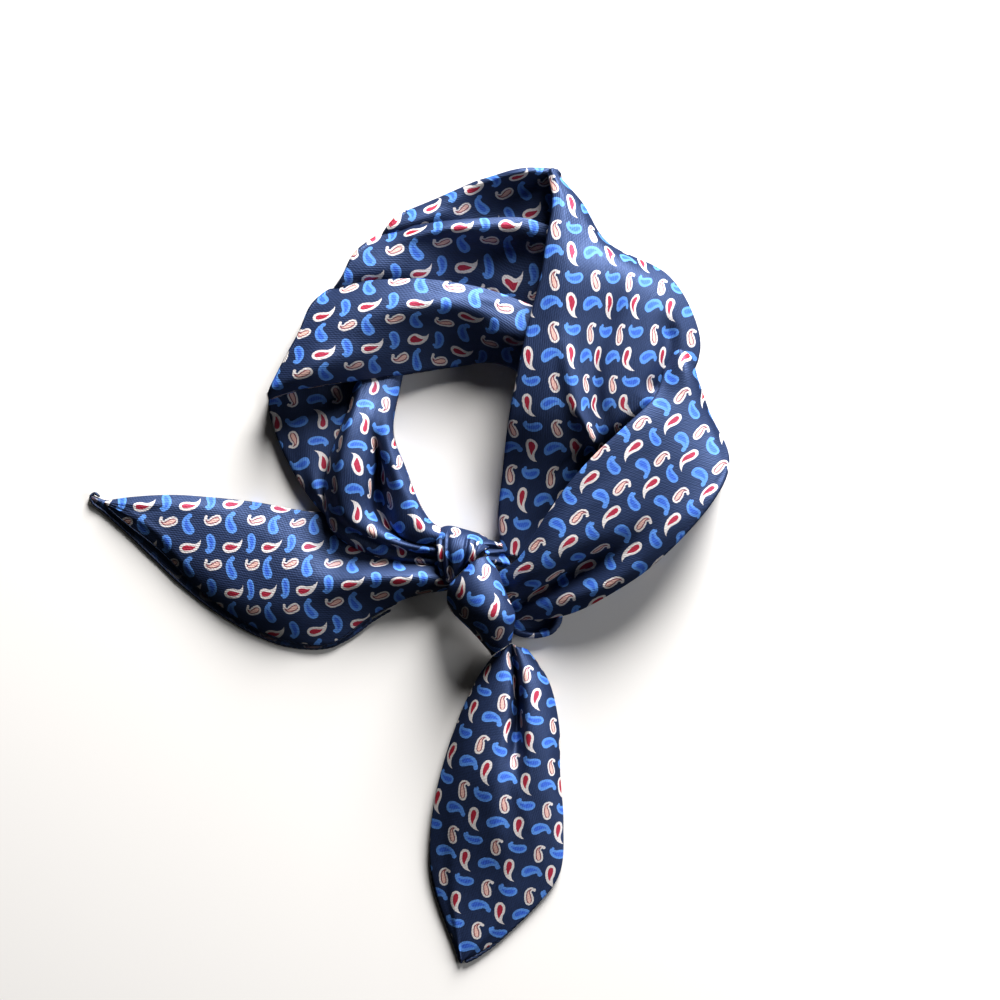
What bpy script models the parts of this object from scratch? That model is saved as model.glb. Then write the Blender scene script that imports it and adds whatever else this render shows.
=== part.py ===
"""A silk square, folded on the diagonal into a band and tied in front like a neckerchief.

It lies flat on a table, seen from above with the knot towards the bottom and one tail out to the left.
Each stretch of the band that shows is one rounded solid, and its hidden layers are inside it.
All the tables are in millimetres on the table top: x to the right, y away, z up.
"""

import bpy
import numpy as np

MM = 0.001
HEM_THICKNESS = 2.2  # rolled hem, across
PIECE_GAP = 0.32  # between neighbouring stretches
TABLE_CUT_DEPTH = 3.0  # how far a cutter reaches below the table
CUTTER_TOP = 60.0  # above the highest fold
EDGE_DRAW_IN_SHARE = 0.28  # how far a layered edge draws in, as a share of its height
EDGE_DRAW_IN_LIMIT = 2.0
NARROW_DRAW_IN_SHARE = 0.08  # and no further than this share of the stretch's width there

# Layers of an edge from the top surface down: share of the edge's height, share of the draw-in.
EDGE_LAYERS = (
    (0.62, 0.85),
    (0.44, 0.1),
    (0.0, 0.45),
)

# Folds of each stretch. A row is one fold line across the band's width, from the right-hand side of the
# band's travel to the left-hand side, and its (x, y, z) places follow the travel.
TAIL_LEFT = {
    "low edge": ((-150, 29.6, 2.6), (-142, 24, 2.4), (-120, 3.2, 2.4), (-100, -14.4, 2.4),
                 (-80, -27.8, 2.6), (-58, -37.2, 3), (-38, -37.8, 3), (-18.5, -25.5, 4), (0, -17, 5),
                 (20, -13, 6)),
    "front hem": ((-150.2, 30.6, 2.8), (-136, 22, 3.4), (-119, 8.5, 3.8), (-99, -11, 4.2),
                  (-79.5, -25.6, 4.2), (-57.6, -35.2, 3.5), (-38, -36.4, 3.5), (-18.5, -23.5, 4),
                  (0, -15, 5), (20, -11.5, 6)),
    "belly": ((-150.3, 31.2, 3), (-135.6, 24.6, 4.4), (-118, 13, 5.8), (-98, -3, 7.4),
              (-78.5, -16, 8.8), (-57.5, -22, 10), (-37.5, -22, 8.5), (-18.8, -15.5, 9),
              (0, -11.5, 10.5), (20.5, -9.5, 9)),
    "crown": ((-150.4, 32, 3), (-135.2, 27.2, 4.8), (-116, 21, 6.4), (-95.5, 13, 7.6), (-75.5, 3, 9.4),
              (-56, -5, 12), (-38, -8, 13.5), (-19, -6, 15), (-1, -5, 15), (21, -6, 11)),
    "back slope": ((-150.4, 32.6, 2.9), (-135.2, 29.6, 4.4), (-115, 28.5, 5.4), (-93.5, 25, 6.2),
                   (-73.5, 19, 7), (-54, 13, 8), (-37, 6, 6.5), (-20, 4, 6), (0, 2, 7), (21, -1.5, 8)),
    "fold edge": ((-150.5, 33.2, 2.6), (-135.6, 31.4, 3), (-115, 32.8, 3.2), (-93, 31.5, 3.4),
                  (-72, 29, 3.6), (-52, 25.2, 4), (-36, 23, 4.4), (-18, 14, 5), (3, 9, 6), (20, 4, 6)),
}

LOOP_LEFT_OUTER = {
    "under the inner fold": ((-31, 17, 5), (-33, 30, 5), (-31.5, 45, 5), (-27, 60, 4), (-22, 75, 3.5),
                             (-17, 95, 3.5)),
    "trough": ((-34, 19, 5.5), (-38.5, 31, 6), (-39, 46, 6), (-37.5, 61, 5), (-34.5, 76, 4),
               (-31, 95, 4)),
    "crown": ((-36, 20, 7), (-42.5, 32, 8.5), (-47, 47, 7.2), (-49, 62, 6), (-49, 77, 4.5),
              (-46, 95, 4)),
    "shoulder": ((-37.5, 21, 5.5), (-45.5, 32.5, 6.5), (-52, 46, 6.2), (-57.5, 62, 5.2),
                 (-60, 76, 4.4), (-56, 93, 4)),
    "outside": ((-38.5, 22, 4.5), (-47.5, 33.5, 5.2), (-56, 48, 5.2), (-63, 63.5, 4.4), (-66, 76, 3.8),
                (-60, 89, 3.5)),
}

LOOP_LEFT_INNER = {
    "hole edge": ((15.5, 17, 9), (8, 22.5, 11), (2, 33.5, 13), (-2.7, 46, 13), (-7.3, 57.5, 13.5),
                  (-8.3, 68, 12), (-6, 80, 8), (-3.6, 94, 5)),
    "first pleat": ((15.5, 14, 12), (5.5, 18.5, 16), (-1.5, 31, 16.5), (-6, 43, 16.5), (-10, 56.5, 16),
                    (-11, 68, 15), (-9.5, 80, 11.5), (-8, 94, 6)),
    "second pleat": ((15.5, 11, 11), (-2, 13.5, 13), (-7.2, 27, 14), (-9.8, 40, 14), (-13, 54, 14.5),
                     (-14.5, 67.5, 16), (-14, 80, 12.5), (-12, 94, 6)),
    "recess": ((15.5, 9.2, 8), (-7.5, 16, 6), (-14.8, 27.5, 2), (-15.4, 40, 2), (-15, 51.5, 8),
               (-18, 66.5, 18), (-18, 79.5, 13.5), (-16, 94, 6.5)),
    "crown": ((15.5, 7.4, 11), (-10, 13.8, 15), (-20.8, 26, 16), (-21.3, 38, 19), (-21, 51, 20.5),
              (-22.5, 65.5, 20), (-21.5, 79, 14.5), (-19, 94, 6.5)),
    "shoulder": ((15.5, 5.6, 11), (-12.6, 11.6, 15), (-29, 22.5, 18.5), (-32, 36, 22), (-31, 49.5, 23),
                 (-28.5, 64, 21), (-25, 78, 14.5), (-22, 94, 6)),
    "strip crease": ((15.5, 3.8, 8), (-14.5, 9.4, 9.5), (-33.4, 20.6, 13), (-36.3, 34.6, 16.5),
                     (-35, 48.2, 17.5), (-31.5, 62.5, 16), (-27.2, 76, 11), (-24, 94, 5)),
    "strip": ((15.5, 1.8, 9.5), (-16.3, 7.4, 10.5), (-35.6, 18.8, 12), (-38.6, 33.6, 13.5),
              (-37, 48, 14.5), (-32.8, 62, 13.5), (-28, 75.5, 9.5), (-24.5, 94, 4.5)),
    "strip edge": ((15.5, -0.6, 6), (-18, 4.8, 6), (-37.4, 17, 7), (-40.2, 32.8, 9), (-38.6, 47.6, 10),
                   (-33.8, 61.8, 9.5), (-28.8, 75.2, 7), (-25, 94, 3.5)),
}

LOOP_TOP_INNER = {
    "hole edge": ((-66, 78.5, 14), (-50, 83.5, 19), (-28, 87, 15), (-3, 91, 9.5), (20, 94.5, 7),
                  (41, 95.8, 8), (58, 88, 9)),
    "roll": ((-64, 83.5, 18), (-47, 91, 24), (-25, 95, 21), (0, 99, 13), (20, 102, 10.5),
             (42, 103, 14.5), (60, 97, 12)),
    "crown": ((-57, 97, 18.5), (-41, 103, 22.5), (-20, 107, 23.2), (3, 110, 19.4), (22, 111, 16.2),
              (44, 109, 20.5), (62, 104, 16)),
    "upper crown": ((-50.3, 109.5, 17), (-36, 115, 20.5), (-15, 119, 24.5), (5, 121, 26),
                    (25, 120, 25), (45, 115, 21.5), (64, 110, 17)),
    "shoulder": ((-44.5, 122.5, 14), (-31, 125, 17), (-11, 128, 21), (7, 128.5, 23), (27, 126, 23),
                 (46, 120, 20), (66, 114, 15.5)),
    "lap edge": ((-35, 130.2, 11), (-24, 132.3, 14), (-9, 133.6, 17.5), (8, 133.4, 20.5),
                 (28, 130.6, 21), (46, 125.6, 18), (67, 117.5, 13)),
}

LOOP_TOP_MIDDLE = {
    "under the inner fold": ((-37, 125, 10), (-20, 126, 9), (-2, 127, 10), (18, 125, 5), (38, 119, 3),
                             (54, 112, 3), (71, 106, 3)),
    "rise": ((-30.5, 135, 14), (-16, 137.5, 16), (0, 139, 14), (18, 138, 5.5), (38, 135, 3.5),
             (54, 131, 3.5), (71, 128, 3.5)),
    "crown": ((-25.5, 145, 12.5), (-12, 147.5, 14), (2, 149.5, 15.5), (18, 150.5, 11), (37, 149, 7),
              (54, 147, 6), (71, 144, 4.5)),
    "shoulder": ((-19, 151, 10), (-6, 153.5, 11.5), (5, 156, 16), (19, 158, 18.5), (36, 158.5, 17),
                 (53, 158, 14.5), (71, 152, 8)),
    "lap edge": ((-12.5, 155.4, 8), (-3, 158.3, 9), (7, 160, 12.5), (20, 161.5, 15.5),
                 (36, 162.6, 14.5), (53, 162.5, 13.5), (71, 156, 9)),
}

LOOP_TOP_OUTER = {
    "under the middle fold": ((-15, 150, 5), (-2, 152, 7), (12, 155, 7.5), (30, 156, 5),
                              (48, 155, 3.5), (71, 150, 3)),
    "rise": ((-9.6, 158.5, 9.5), (1, 161.5, 10.5), (15, 164.5, 10), (32, 167.5, 5), (49, 168, 3.5),
             (71, 165, 3.5)),
    "crown": ((-5.4, 163, 9), (6, 166.5, 9.5), (18, 170, 10), (34, 174.5, 8), (50, 177.5, 7),
              (71, 176, 6)),
    "outside": ((-1.5, 166, 7), (9, 170.3, 7), (22, 175.2, 9), (37, 179.8, 12), (52, 183.7, 15),
                (69.5, 183.8, 9.5)),
}

LOOP_RIGHT = {
    "hole edge": ((64.6, 184.4, 11.5), (68, 172, 18), (65, 152, 23.5), (62.2, 134, 25.5),
                  (57, 114, 26), (52.3, 93, 26.5), (48.3, 72, 23.5), (45, 45, 12), (43, 20, 9),
                  (44.6, 5, 8)),
    "first crown": ((66.2, 185.3, 13), (71, 172, 18.5), (71, 152, 25), (72, 134, 28), (68, 114, 28.5),
                    (64, 93, 28.8), (60, 72, 26), (53, 45, 14.5), (48, 20, 10), (47, 4.6, 9)),
    "middle": ((67.8, 184.9, 12.5), (74.5, 172, 16.5), (79, 152, 22), (87, 134, 26), (86, 114, 26.5),
               (82, 93, 27), (79, 73, 26), (64, 46, 15), (54, 20, 10), (50, 4.2, 8.5)),
    "second crown": ((69.6, 183.7, 11), (78, 172, 13), (88, 152, 18), (106, 134, 23), (111, 114, 25),
                     (107, 93, 26), (98, 72, 25), (76, 47, 16), (61, 20, 9), (53, 3.8, 8)),
    "outside": ((71, 182, 7), (80.5, 171, 8.5), (93, 151.5, 10), (120.5, 136, 13), (133.3, 114.5, 13),
                (134.2, 96, 13), (118, 74, 16), (90, 46, 9), (68, 20, 8), (56, 3.5, 7)),
}

LOOP_FRONT = {
    "lap edge": ((121.5, 112, 6), (121.8, 106, 12), (120, 96, 15.5), (116, 80.5, 22),
                 (103, 66.5, 26.5), (88, 52.5, 28), (74, 37, 27), (62, 20, 24), (52.5, 5, 20),
                 (38.5, -5, 11)),
    "crown": ((123.5, 111.7, 6), (125, 105.5, 13.5), (126.5, 96, 20.5), (125, 78, 23.5), (114, 60, 27),
              (99, 44, 28), (84, 27, 28), (71, 11, 27), (58, -3, 23), (40, -11, 12)),
    "crease top": ((125.5, 111.4, 5.5), (127.5, 105, 12), (130.5, 96, 19), (132, 76, 21.5),
                   (127, 50, 26), (112, 32, 27.5), (95, 15, 26.5), (79, 4.5, 22.5), (65, -6, 17),
                   (42, -18.5, 10)),
    "crease foot": ((127, 111.1, 5), (129.3, 104.7, 9.5), (132.5, 96, 15.5), (136, 75, 18.5),
                    (135, 46, 24.5), (118, 26, 27), (99, 9, 22), (81, 0.5, 13), (67, -8.5, 10),
                    (43, -21, 7)),
    "under fold": ((128.3, 110.8, 4.5), (130.5, 104.4, 7), (133, 94.3, 10), (139, 74, 14.5),
                   (143, 45, 23), (126, 23, 27.5), (106, 3, 25), (88, -9, 20.5), (70, -15, 15),
                   (43, -23, 7)),
    "outside": ((129, 110.5, 4), (131.4, 104, 5.5), (133.6, 94, 7), (140, 74, 9.5), (148.6, 50, 18.5),
                (140, 31, 26), (115, 3.5, 24), (95.5, -11, 19), (75, -21.5, 13), (43, -25, 5)),
}

HEM_LOOP = {
    "lower lip": ((47, -30.6, 3.6), (52, -33.3, 4.6), (60, -34, 4.8), (67.5, -31.6, 4.8),
                  (71, -26.8, 4), (71, -21, 3)),
    "rim": ((48, -29.5, 4), (53, -31.8, 5.2), (59.8, -32.3, 5.4), (66, -30.4, 5.4), (69, -26.4, 4.6),
            (69, -21, 3)),
    "mouth": ((49, -28, 2), (54, -29.8, 1.4), (59.4, -30.2, 1.2), (64.4, -28.8, 1.4), (66.8, -25.6, 2),
              (66.8, -21, 2)),
    "inside": ((50, -24, 1.5), (54.5, -23, 1.2), (59, -22.5, 1.2), (62, -22.6, 1.2), (63.6, -22, 1.5),
               (64, -21, 1.5)),
}

KNOT_BACK = {
    "right edge": ((27, -0.3, 17), (30.5, 4, 19), (33.5, 6.8, 18.5), (36.2, 8.8, 15), (37.5, 11.6, 10)),
    "fourth ridge": ((24, -3, 16), (28, 2.5, 20), (31, 7, 20.5), (33.4, 11, 16), (34.5, 14, 10)),
    "third ridge": ((21, -5.5, 16), (25, 0.5, 20), (27, 7, 22), (29, 12.5, 18), (30, 15.7, 10)),
    "second ridge": ((19, -7.5, 15), (21, 0, 20), (22.5, 7.5, 22), (24, 13.4, 18.5), (24.6, 17.2, 10)),
    "first ridge": ((17.8, -8.6, 14.5), (17.5, -1, 19), (17.3, 7, 20.5), (17.6, 13.4, 17),
                    (18.8, 18.4, 10)),
    "left edge": ((16.3, -9, 12), (14.6, -2, 15), (13.2, 6, 16), (12.6, 12, 13), (13.6, 17.2, 9)),
}

KNOT_WRAP = {
    "right edge": ((47.5, -36, 8), (48.8, -29, 13), (49.3, -22, 17), (46, -14.5, 18), (43.3, -8, 18.5),
                   (41.5, -3, 18.5), (36.5, 4, 18)),
    "right crown": ((46, -37, 12), (46, -29, 20), (45.5, -22, 24), (42, -13, 24.5), (39, -6, 23.5),
                    (37, -1, 22.5), (34.3, 3.8, 20.5)),
    "middle": ((43.5, -38.5, 13.5), (39.5, -30, 22), (37, -22, 27), (34.5, -13, 27), (33, -6, 25.5),
               (32.5, -1, 23.5), (32, 3, 21)),
    "left crown": ((41, -40, 10.5), (33, -31, 18), (27, -22, 23), (25, -14, 24.5), (25.5, -7.5, 24.5),
                   (27.5, -3.2, 23.2), (30, 1.6, 21)),
    "left edge": ((38.5, -42, 6), (29, -31, 8.5), (19, -20.5, 11), (17.5, -14, 13.5), (19, -8.6, 16.5),
                  (23, -4.6, 18.5), (28, 0.1, 20)),
}

KNOT_FOLD = {
    "lower edge": ((38.5, 0.8, 12), (42.5, -0.4, 9.5), (47, -1.2, 7)),
    "third ridge": ((37.5, 3, 15.4), (42, 2.2, 12), (47, 1.2, 9.5)),
    "second valley": ((36.8, 4.5, 14.8), (41, 4.3, 11), (45.8, 4.2, 8)),
    "second ridge": ((35.8, 5.9, 16), (40.4, 6.3, 12.6), (45, 6.6, 9.5)),
    "first valley": ((34.5, 7.8, 14), (39, 8, 10.8), (43.9, 8, 8)),
    "first ridge": ((33.2, 10.4, 16), (38, 10.2, 14), (43.4, 9.1, 10.5)),
    "upper edge": ((32.4, 13, 10), (38, 11.9, 9), (43.6, 10.4, 7)),
}

TAIL_FRONT = {
    "left side": ((39, -43, 4), (31.5, -54, 5), (23.5, -71, 5), (15, -97, 4.5), (10.5, -120, 4),
                  (10, -141, 3.5), (13.8, -158, 3), (19.8, -175, 2.6), (23.7, -186, 2.4)),
    "left crown": ((41.5, -40.5, 8.5), (37, -54, 11.5), (30, -72, 12.5), (24.5, -97, 12.5),
                   (21, -120, 10), (20, -141, 7), (20.5, -159, 5), (22.3, -175.5, 3.6),
                   (24, -186.3, 2.6)),
    "left of groove": ((45, -38.5, 10), (46.8, -54, 13), (45.5, -72, 15), (40, -98, 17.5),
                       (36, -121, 13), (32.5, -143, 8), (29.5, -161.5, 5.2), (26, -177, 3.8),
                       (24.4, -186.3, 2.7)),
    "groove": ((47.4, -37, 6), (50, -54, 3), (50.4, -72, 3), (49, -96, 13), (46.5, -122, 12.5),
               (43, -145, 8), (37.5, -163.5, 5.2), (29.5, -178.5, 3.8), (24.8, -186.2, 2.7)),
    "right of groove": ((50, -38, 9.5), (53.6, -54, 13.5), (54.6, -72, 15.5), (56, -96, 15),
                        (56.5, -122, 11), (52, -146, 7), (44, -164, 4.8), (32.5, -178, 3.6),
                        (25.1, -186, 2.6)),
    "right crown": ((52.8, -38.6, 8), (60.2, -54, 11.5), (63.4, -73, 12.5), (65.2, -97, 11.5),
                    (65.8, -122, 8), (61, -146, 5), (50, -164, 3.6), (36, -178, 3), (25.4, -185.9, 2.5)),
    "right side": ((55, -39.5, 4), (64.8, -54, 5), (69.6, -73, 5), (70.5, -98, 4.5), (71.8, -122, 4),
                   (69.2, -146.8, 3), (55.8, -163.4, 2.6), (39, -178, 2.5), (25.7, -185.7, 2.4)),
}

# The stretches: folds, samples along and across each gap between folds, and the stretches that lie on top.
STRETCHES = {
    "tail_left": (TAIL_LEFT, 2, 2, ("loop_left_outer", "loop_left_inner", "knot_back", "knot_wrap")),
    "loop_left_outer": (LOOP_LEFT_OUTER, 2, 2, ("loop_left_inner", "loop_top_inner")),
    "loop_left_inner": (LOOP_LEFT_INNER, 2, 2, ("loop_top_inner", "knot_back")),
    "loop_top_outer": (LOOP_TOP_OUTER, 2, 2, ("loop_top_middle", "loop_top_inner", "loop_right")),
    "loop_top_middle": (LOOP_TOP_MIDDLE, 2, 2, ("loop_top_inner", "loop_right")),
    "loop_top_inner": (LOOP_TOP_INNER, 3, 2, ("loop_right",)),
    "loop_right": (LOOP_RIGHT, 2, 3, ("loop_front",)),
    "loop_front": (LOOP_FRONT, 2, 2, ("knot_wrap",)),
    "hem_loop": (HEM_LOOP, 2, 2, ("loop_front", "knot_wrap")),
    "tail_front": (TAIL_FRONT, 2, 2, ("knot_wrap",)),
    "knot_back": (KNOT_BACK, 2, 2, ("knot_wrap",)),
    "knot_fold": (KNOT_FOLD, 2, 2, ("knot_back", "knot_wrap", "loop_right", "loop_front")),
    "knot_wrap": (KNOT_WRAP, 2, 2, ()),
}

# Rolled hems: the stretch and the fold that each runs beside, its first and last place on that fold,
# and the side it lies on (-1 right of the travel, 1 left of it).
HEMS = {
    "tail_left_hem": ("tail_left", "low edge", 0, 8, -1),
    "tail_front_hem_left": ("tail_front", "left side", 5, 8, -1),
    "tail_front_hem_right": ("tail_front", "right side", 5, 8, 1),
}
HEM_CLEARANCE = 0.45  # from a hem's side to its stretch
HEM_SIDES = 8
HEM_STEPS = 3  # along each gap between the fold's places

# Print: one colour for each kind of stretch, as the navy ground looks in its light.
COLOURS = {
    "tail": (0.035, 0.06, 0.13),
    "loop": (0.045, 0.075, 0.16),
    "knot": (0.04, 0.07, 0.15),
    "hem": (0.012, 0.02, 0.05),
}


def clear_scene():
    for thing in list(bpy.data.objects):
        bpy.data.objects.remove(thing)


def silk(name):
    """A navy silk twill, a little lighter or darker by the kind of stretch."""
    kind = "hem" if "hem" in name else name.split("_")[0]
    material = bpy.data.materials.new(name)
    material.use_nodes = True
    shader = material.node_tree.nodes["Principled BSDF"]
    shader.inputs["Base Color"].default_value = (*COLOURS[kind], 1.0)
    shader.inputs["Roughness"].default_value = 0.55
    shader.inputs["Metallic"].default_value = 0.0
    material.diffuse_color = (*COLOURS[kind], 1.0)
    return material


def smooth_rows(rows, steps):
    """Points on a smooth curve through rows[0], rows[1], ..., with this many steps in each gap.

    It is the cubic whose slope at a row is that of the parabola through the row and its neighbours.
    """
    rows = np.asarray(rows, float)
    spans = np.linalg.norm(np.diff(rows, axis=0), axis=-1)
    knots = np.concatenate([[0.0], np.cumsum(spans.reshape(len(spans), -1).mean(axis=1))])
    gaps = np.diff(knots).reshape(-1, *[1] * (rows.ndim - 1))
    chords = np.diff(rows, axis=0) / gaps
    slopes = np.empty_like(rows)
    slopes[1:-1] = (chords[:-1] * gaps[1:] + chords[1:] * gaps[:-1]) / (gaps[1:] + gaps[:-1])
    slopes[0] = 1.5 * chords[0] - 0.5 * slopes[1]
    slopes[-1] = 1.5 * chords[-1] - 0.5 * slopes[-2]
    made = []
    for i, gap in enumerate(gaps):
        for t in np.arange(steps) / steps:
            start = (1 + 2 * t) * (1 - t) ** 2 * rows[i] + t * (1 - t) ** 2 * gap * slopes[i]
            finish = t * t * (3 - 2 * t) * rows[i + 1] - t * t * (1 - t) * gap * slopes[i + 1]
            made.append(start + finish)
    made.append(rows[-1])
    return np.array(made)


def folded_surface(folds, along, across):
    """Top surface of a stretch as a grid of points [fold, travel]."""
    table = np.array(list(folds.values()), float)
    grid = smooth_rows(table.transpose(1, 0, 2), along).transpose(1, 0, 2)
    return smooth_rows(grid, across)


def rim_of(grid):
    """Indices of the grid's edge, anticlockwise as seen from above."""
    folds, travel = grid.shape[:2]
    first = [(0, j) for j in range(travel)]
    end = [(i, travel - 1) for i in range(1, folds)]
    last = [(folds - 1, j) for j in range(travel - 2, -1, -1)]
    start = [(i, 0) for i in range(folds - 2, 0, -1)]
    return first + end + last + start


def outward(rim):
    """Directions out of a closed outline, level with the table."""
    ahead = np.roll(rim[:, :2], -1, axis=0) - np.roll(rim[:, :2], 1, axis=0)
    normal = np.stack([ahead[:, 1], -ahead[:, 0]], axis=1)
    return normal / np.linalg.norm(normal, axis=1, keepdims=True)


def draw_in_of(grid):
    """How far each place of the rim draws in: nothing at the four corners, most at mid-edge."""
    folds, travel = grid.shape[:2]
    width = np.linalg.norm(np.diff(grid[..., :2], axis=0), axis=-1).sum(axis=0)
    found = []
    for i, j in rim_of(grid):
        from_corner = np.sin(np.pi * j / (travel - 1)) + np.sin(np.pi * i / (folds - 1))
        most = min(
            grid[i, j, 2] * EDGE_DRAW_IN_SHARE,
            EDGE_DRAW_IN_LIMIT,
            width[j] * NARROW_DRAW_IN_SHARE,
        )
        found.append(most * np.sqrt(max(from_corner, 0.0)))
    return np.array(found)


def add_object(name, points, faces):
    mesh = bpy.data.meshes.new(name)
    mesh.from_pydata((np.asarray(points) * MM).tolist(), [], faces)
    made = bpy.data.objects.new(name, mesh)
    bpy.context.scene.collection.objects.link(made)
    return made


def closed_stretch(name, grid):
    """The stretch as one solid: its surface, layered edges all round and a flat underside."""
    folds, travel = grid.shape[:2]
    rim = rim_of(grid)
    edge = np.array([grid[i, j] for i, j in rim])
    out = outward(edge)
    points = [grid.reshape(-1, 3)]
    previous = [i * travel + j for i, j in rim]
    faces = [
        (i * travel + j, i * travel + j + 1, (i + 1) * travel + j + 1, (i + 1) * travel + j)
        for i in range(folds - 1)
        for j in range(travel - 1)
    ]
    total = folds * travel
    draw_in = draw_in_of(grid)
    for height, share in EDGE_LAYERS:
        ring = edge.copy()
        ring[:, :2] -= out * (draw_in * share)[:, None]
        ring[:, 2] = edge[:, 2] * height
        points.append(ring)
        current = list(range(total, total + len(rim)))
        total += len(rim)
        for k in range(len(rim)):
            n = (k + 1) % len(rim)
            faces.append((previous[k], current[k], current[n], previous[n]))
        previous = current
    faces.append(tuple(reversed(previous)))
    return add_object(name, np.concatenate(points), faces)


def cutter_of(name, grid):
    """An upright prism round a stretch, for cutting what lies under it."""
    edge = np.array([grid[i, j] for i, j in rim_of(grid)])
    edge[:, :2] += outward(edge) * PIECE_GAP
    low = edge.copy()
    low[:, 2] = -TABLE_CUT_DEPTH
    high = edge.copy()
    high[:, 2] = CUTTER_TOP
    count = len(edge)
    faces = [(k, (k + 1) % count, count + (k + 1) % count, count + k) for k in range(count)]
    faces.append(tuple(range(count - 1, -1, -1)))
    faces.append(tuple(range(count, 2 * count)))
    cutter = add_object(name + "_outline", np.concatenate([low, high]), faces)
    cutter.hide_render = True
    cutter.display_type = "WIRE"
    return cutter


def cut_with(piece, cutter):
    cut = piece.modifiers.new("clear_of_" + cutter.name, "BOOLEAN")
    cut.operation = "DIFFERENCE"
    cut.solver = "EXACT"
    cut.object = cutter


def rolled_hem(name, folds, fold, first, last, side):
    """A hem as a thin tube that lies on the table beside one edge of its stretch."""
    radius = HEM_THICKNESS / 2
    edge = smooth_rows(folds[fold], HEM_STEPS)[first * HEM_STEPS : last * HEM_STEPS + 1]
    ahead = np.gradient(edge[:, :2], axis=0)
    left = np.stack([-ahead[:, 1], ahead[:, 0]], axis=1)
    left /= np.linalg.norm(left, axis=1, keepdims=True)
    centre = edge.copy()
    centre[:, :2] += side * left * (radius + HEM_CLEARANCE)
    centre[:, 2] = radius
    turns = np.arange(HEM_SIDES) / HEM_SIDES * 2 * np.pi
    around = np.stack([np.cos(turns), np.sin(turns)], axis=1) * radius
    points = np.empty((len(centre), HEM_SIDES, 3))
    points[..., :2] = centre[:, None, :2] + left[:, None, :] * around[None, :, :1]
    points[..., 2] = centre[:, None, 2] + around[None, :, 1]
    rings = [list(range(i * HEM_SIDES, (i + 1) * HEM_SIDES)) for i in range(len(centre))]
    faces = []
    for ring, following in zip(rings, rings[1:]):
        for k in range(HEM_SIDES):
            n = (k + 1) % HEM_SIDES
            faces.append((ring[k], ring[n], following[n], following[k]))
    faces.append(tuple(reversed(rings[0])))
    faces.append(tuple(rings[-1]))
    return add_object(name, points.reshape(-1, 3), faces)


def main():
    clear_scene()
    grids = {
        name: folded_surface(folds, along, across)
        for name, (folds, along, across, _) in STRETCHES.items()
    }
    on_top = {upper for _, _, _, uppers in STRETCHES.values() for upper in uppers}
    cutters = {name: cutter_of(name, grids[name]) for name in sorted(on_top)}
    for name, (_, _, _, uppers) in STRETCHES.items():
        piece = closed_stretch(name, grids[name])
        for upper in uppers:
            cut_with(piece, cutters[upper])
        piece.data.materials.append(silk(name))
        piece.data.shade_smooth()
        piece.data.set_sharp_from_angle(angle=np.radians(50))
    for name, (stretch, fold, first, last, side) in HEMS.items():
        hem = rolled_hem(name, STRETCHES[stretch][0], fold, first, last, side)
        hem.data.materials.append(silk(name))
        hem.data.shade_smooth()


main()
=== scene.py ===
import math
from functools import partial
from types import SimpleNamespace
import bmesh
import bpy
import numpy as np
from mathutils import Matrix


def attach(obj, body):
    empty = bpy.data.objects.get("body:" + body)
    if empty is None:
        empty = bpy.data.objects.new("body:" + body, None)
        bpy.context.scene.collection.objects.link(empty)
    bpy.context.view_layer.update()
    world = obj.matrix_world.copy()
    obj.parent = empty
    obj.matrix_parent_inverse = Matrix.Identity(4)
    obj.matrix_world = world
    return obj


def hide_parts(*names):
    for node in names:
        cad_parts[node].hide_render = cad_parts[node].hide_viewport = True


# A navy silk square folded into a band and tied, lying on a pale floor with its neck loop open.
# Tables and sizes are in millimetres on the floor: x to the right, y away, z up.

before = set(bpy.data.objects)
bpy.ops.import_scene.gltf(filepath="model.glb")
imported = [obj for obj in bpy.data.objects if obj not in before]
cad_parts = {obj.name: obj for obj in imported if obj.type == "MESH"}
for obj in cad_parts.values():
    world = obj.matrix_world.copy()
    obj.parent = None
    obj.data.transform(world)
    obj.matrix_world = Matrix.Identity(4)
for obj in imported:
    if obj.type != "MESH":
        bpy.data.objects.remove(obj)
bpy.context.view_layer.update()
print("frame loaded:", len(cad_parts), "solids")

mm = 0.001
clothLook = {
    "spacing": 1.25,  # between grid lines
    "thickness": 0.42,
    "lowest": 0.3,  # top surface above the floor
    "rollRadius": 0.95,  # where a fold turns under
    "tuckBack": 7.0,  # how far it runs back beneath
    "tuckEnd": 188,  # degrees that the roll turns, a little past level
    "tuckSlope": 0.16,  # down for each mm back
    "footHeight": 0.5,  # lowest layer above the floor
    "footTuck": 4.0,
    "brimRadius": 1.9,  # over the top of a standing edge
    "cornerRadius": 4.0,
    "layerPitch": 2.3,  # height of one layer in a standing edge
    "layerGroove": 0.7,
    "layerGap": 0.13,  # width of the groove, in layers
    "repeat": 20.7,  # of the print, both ways
}


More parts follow.
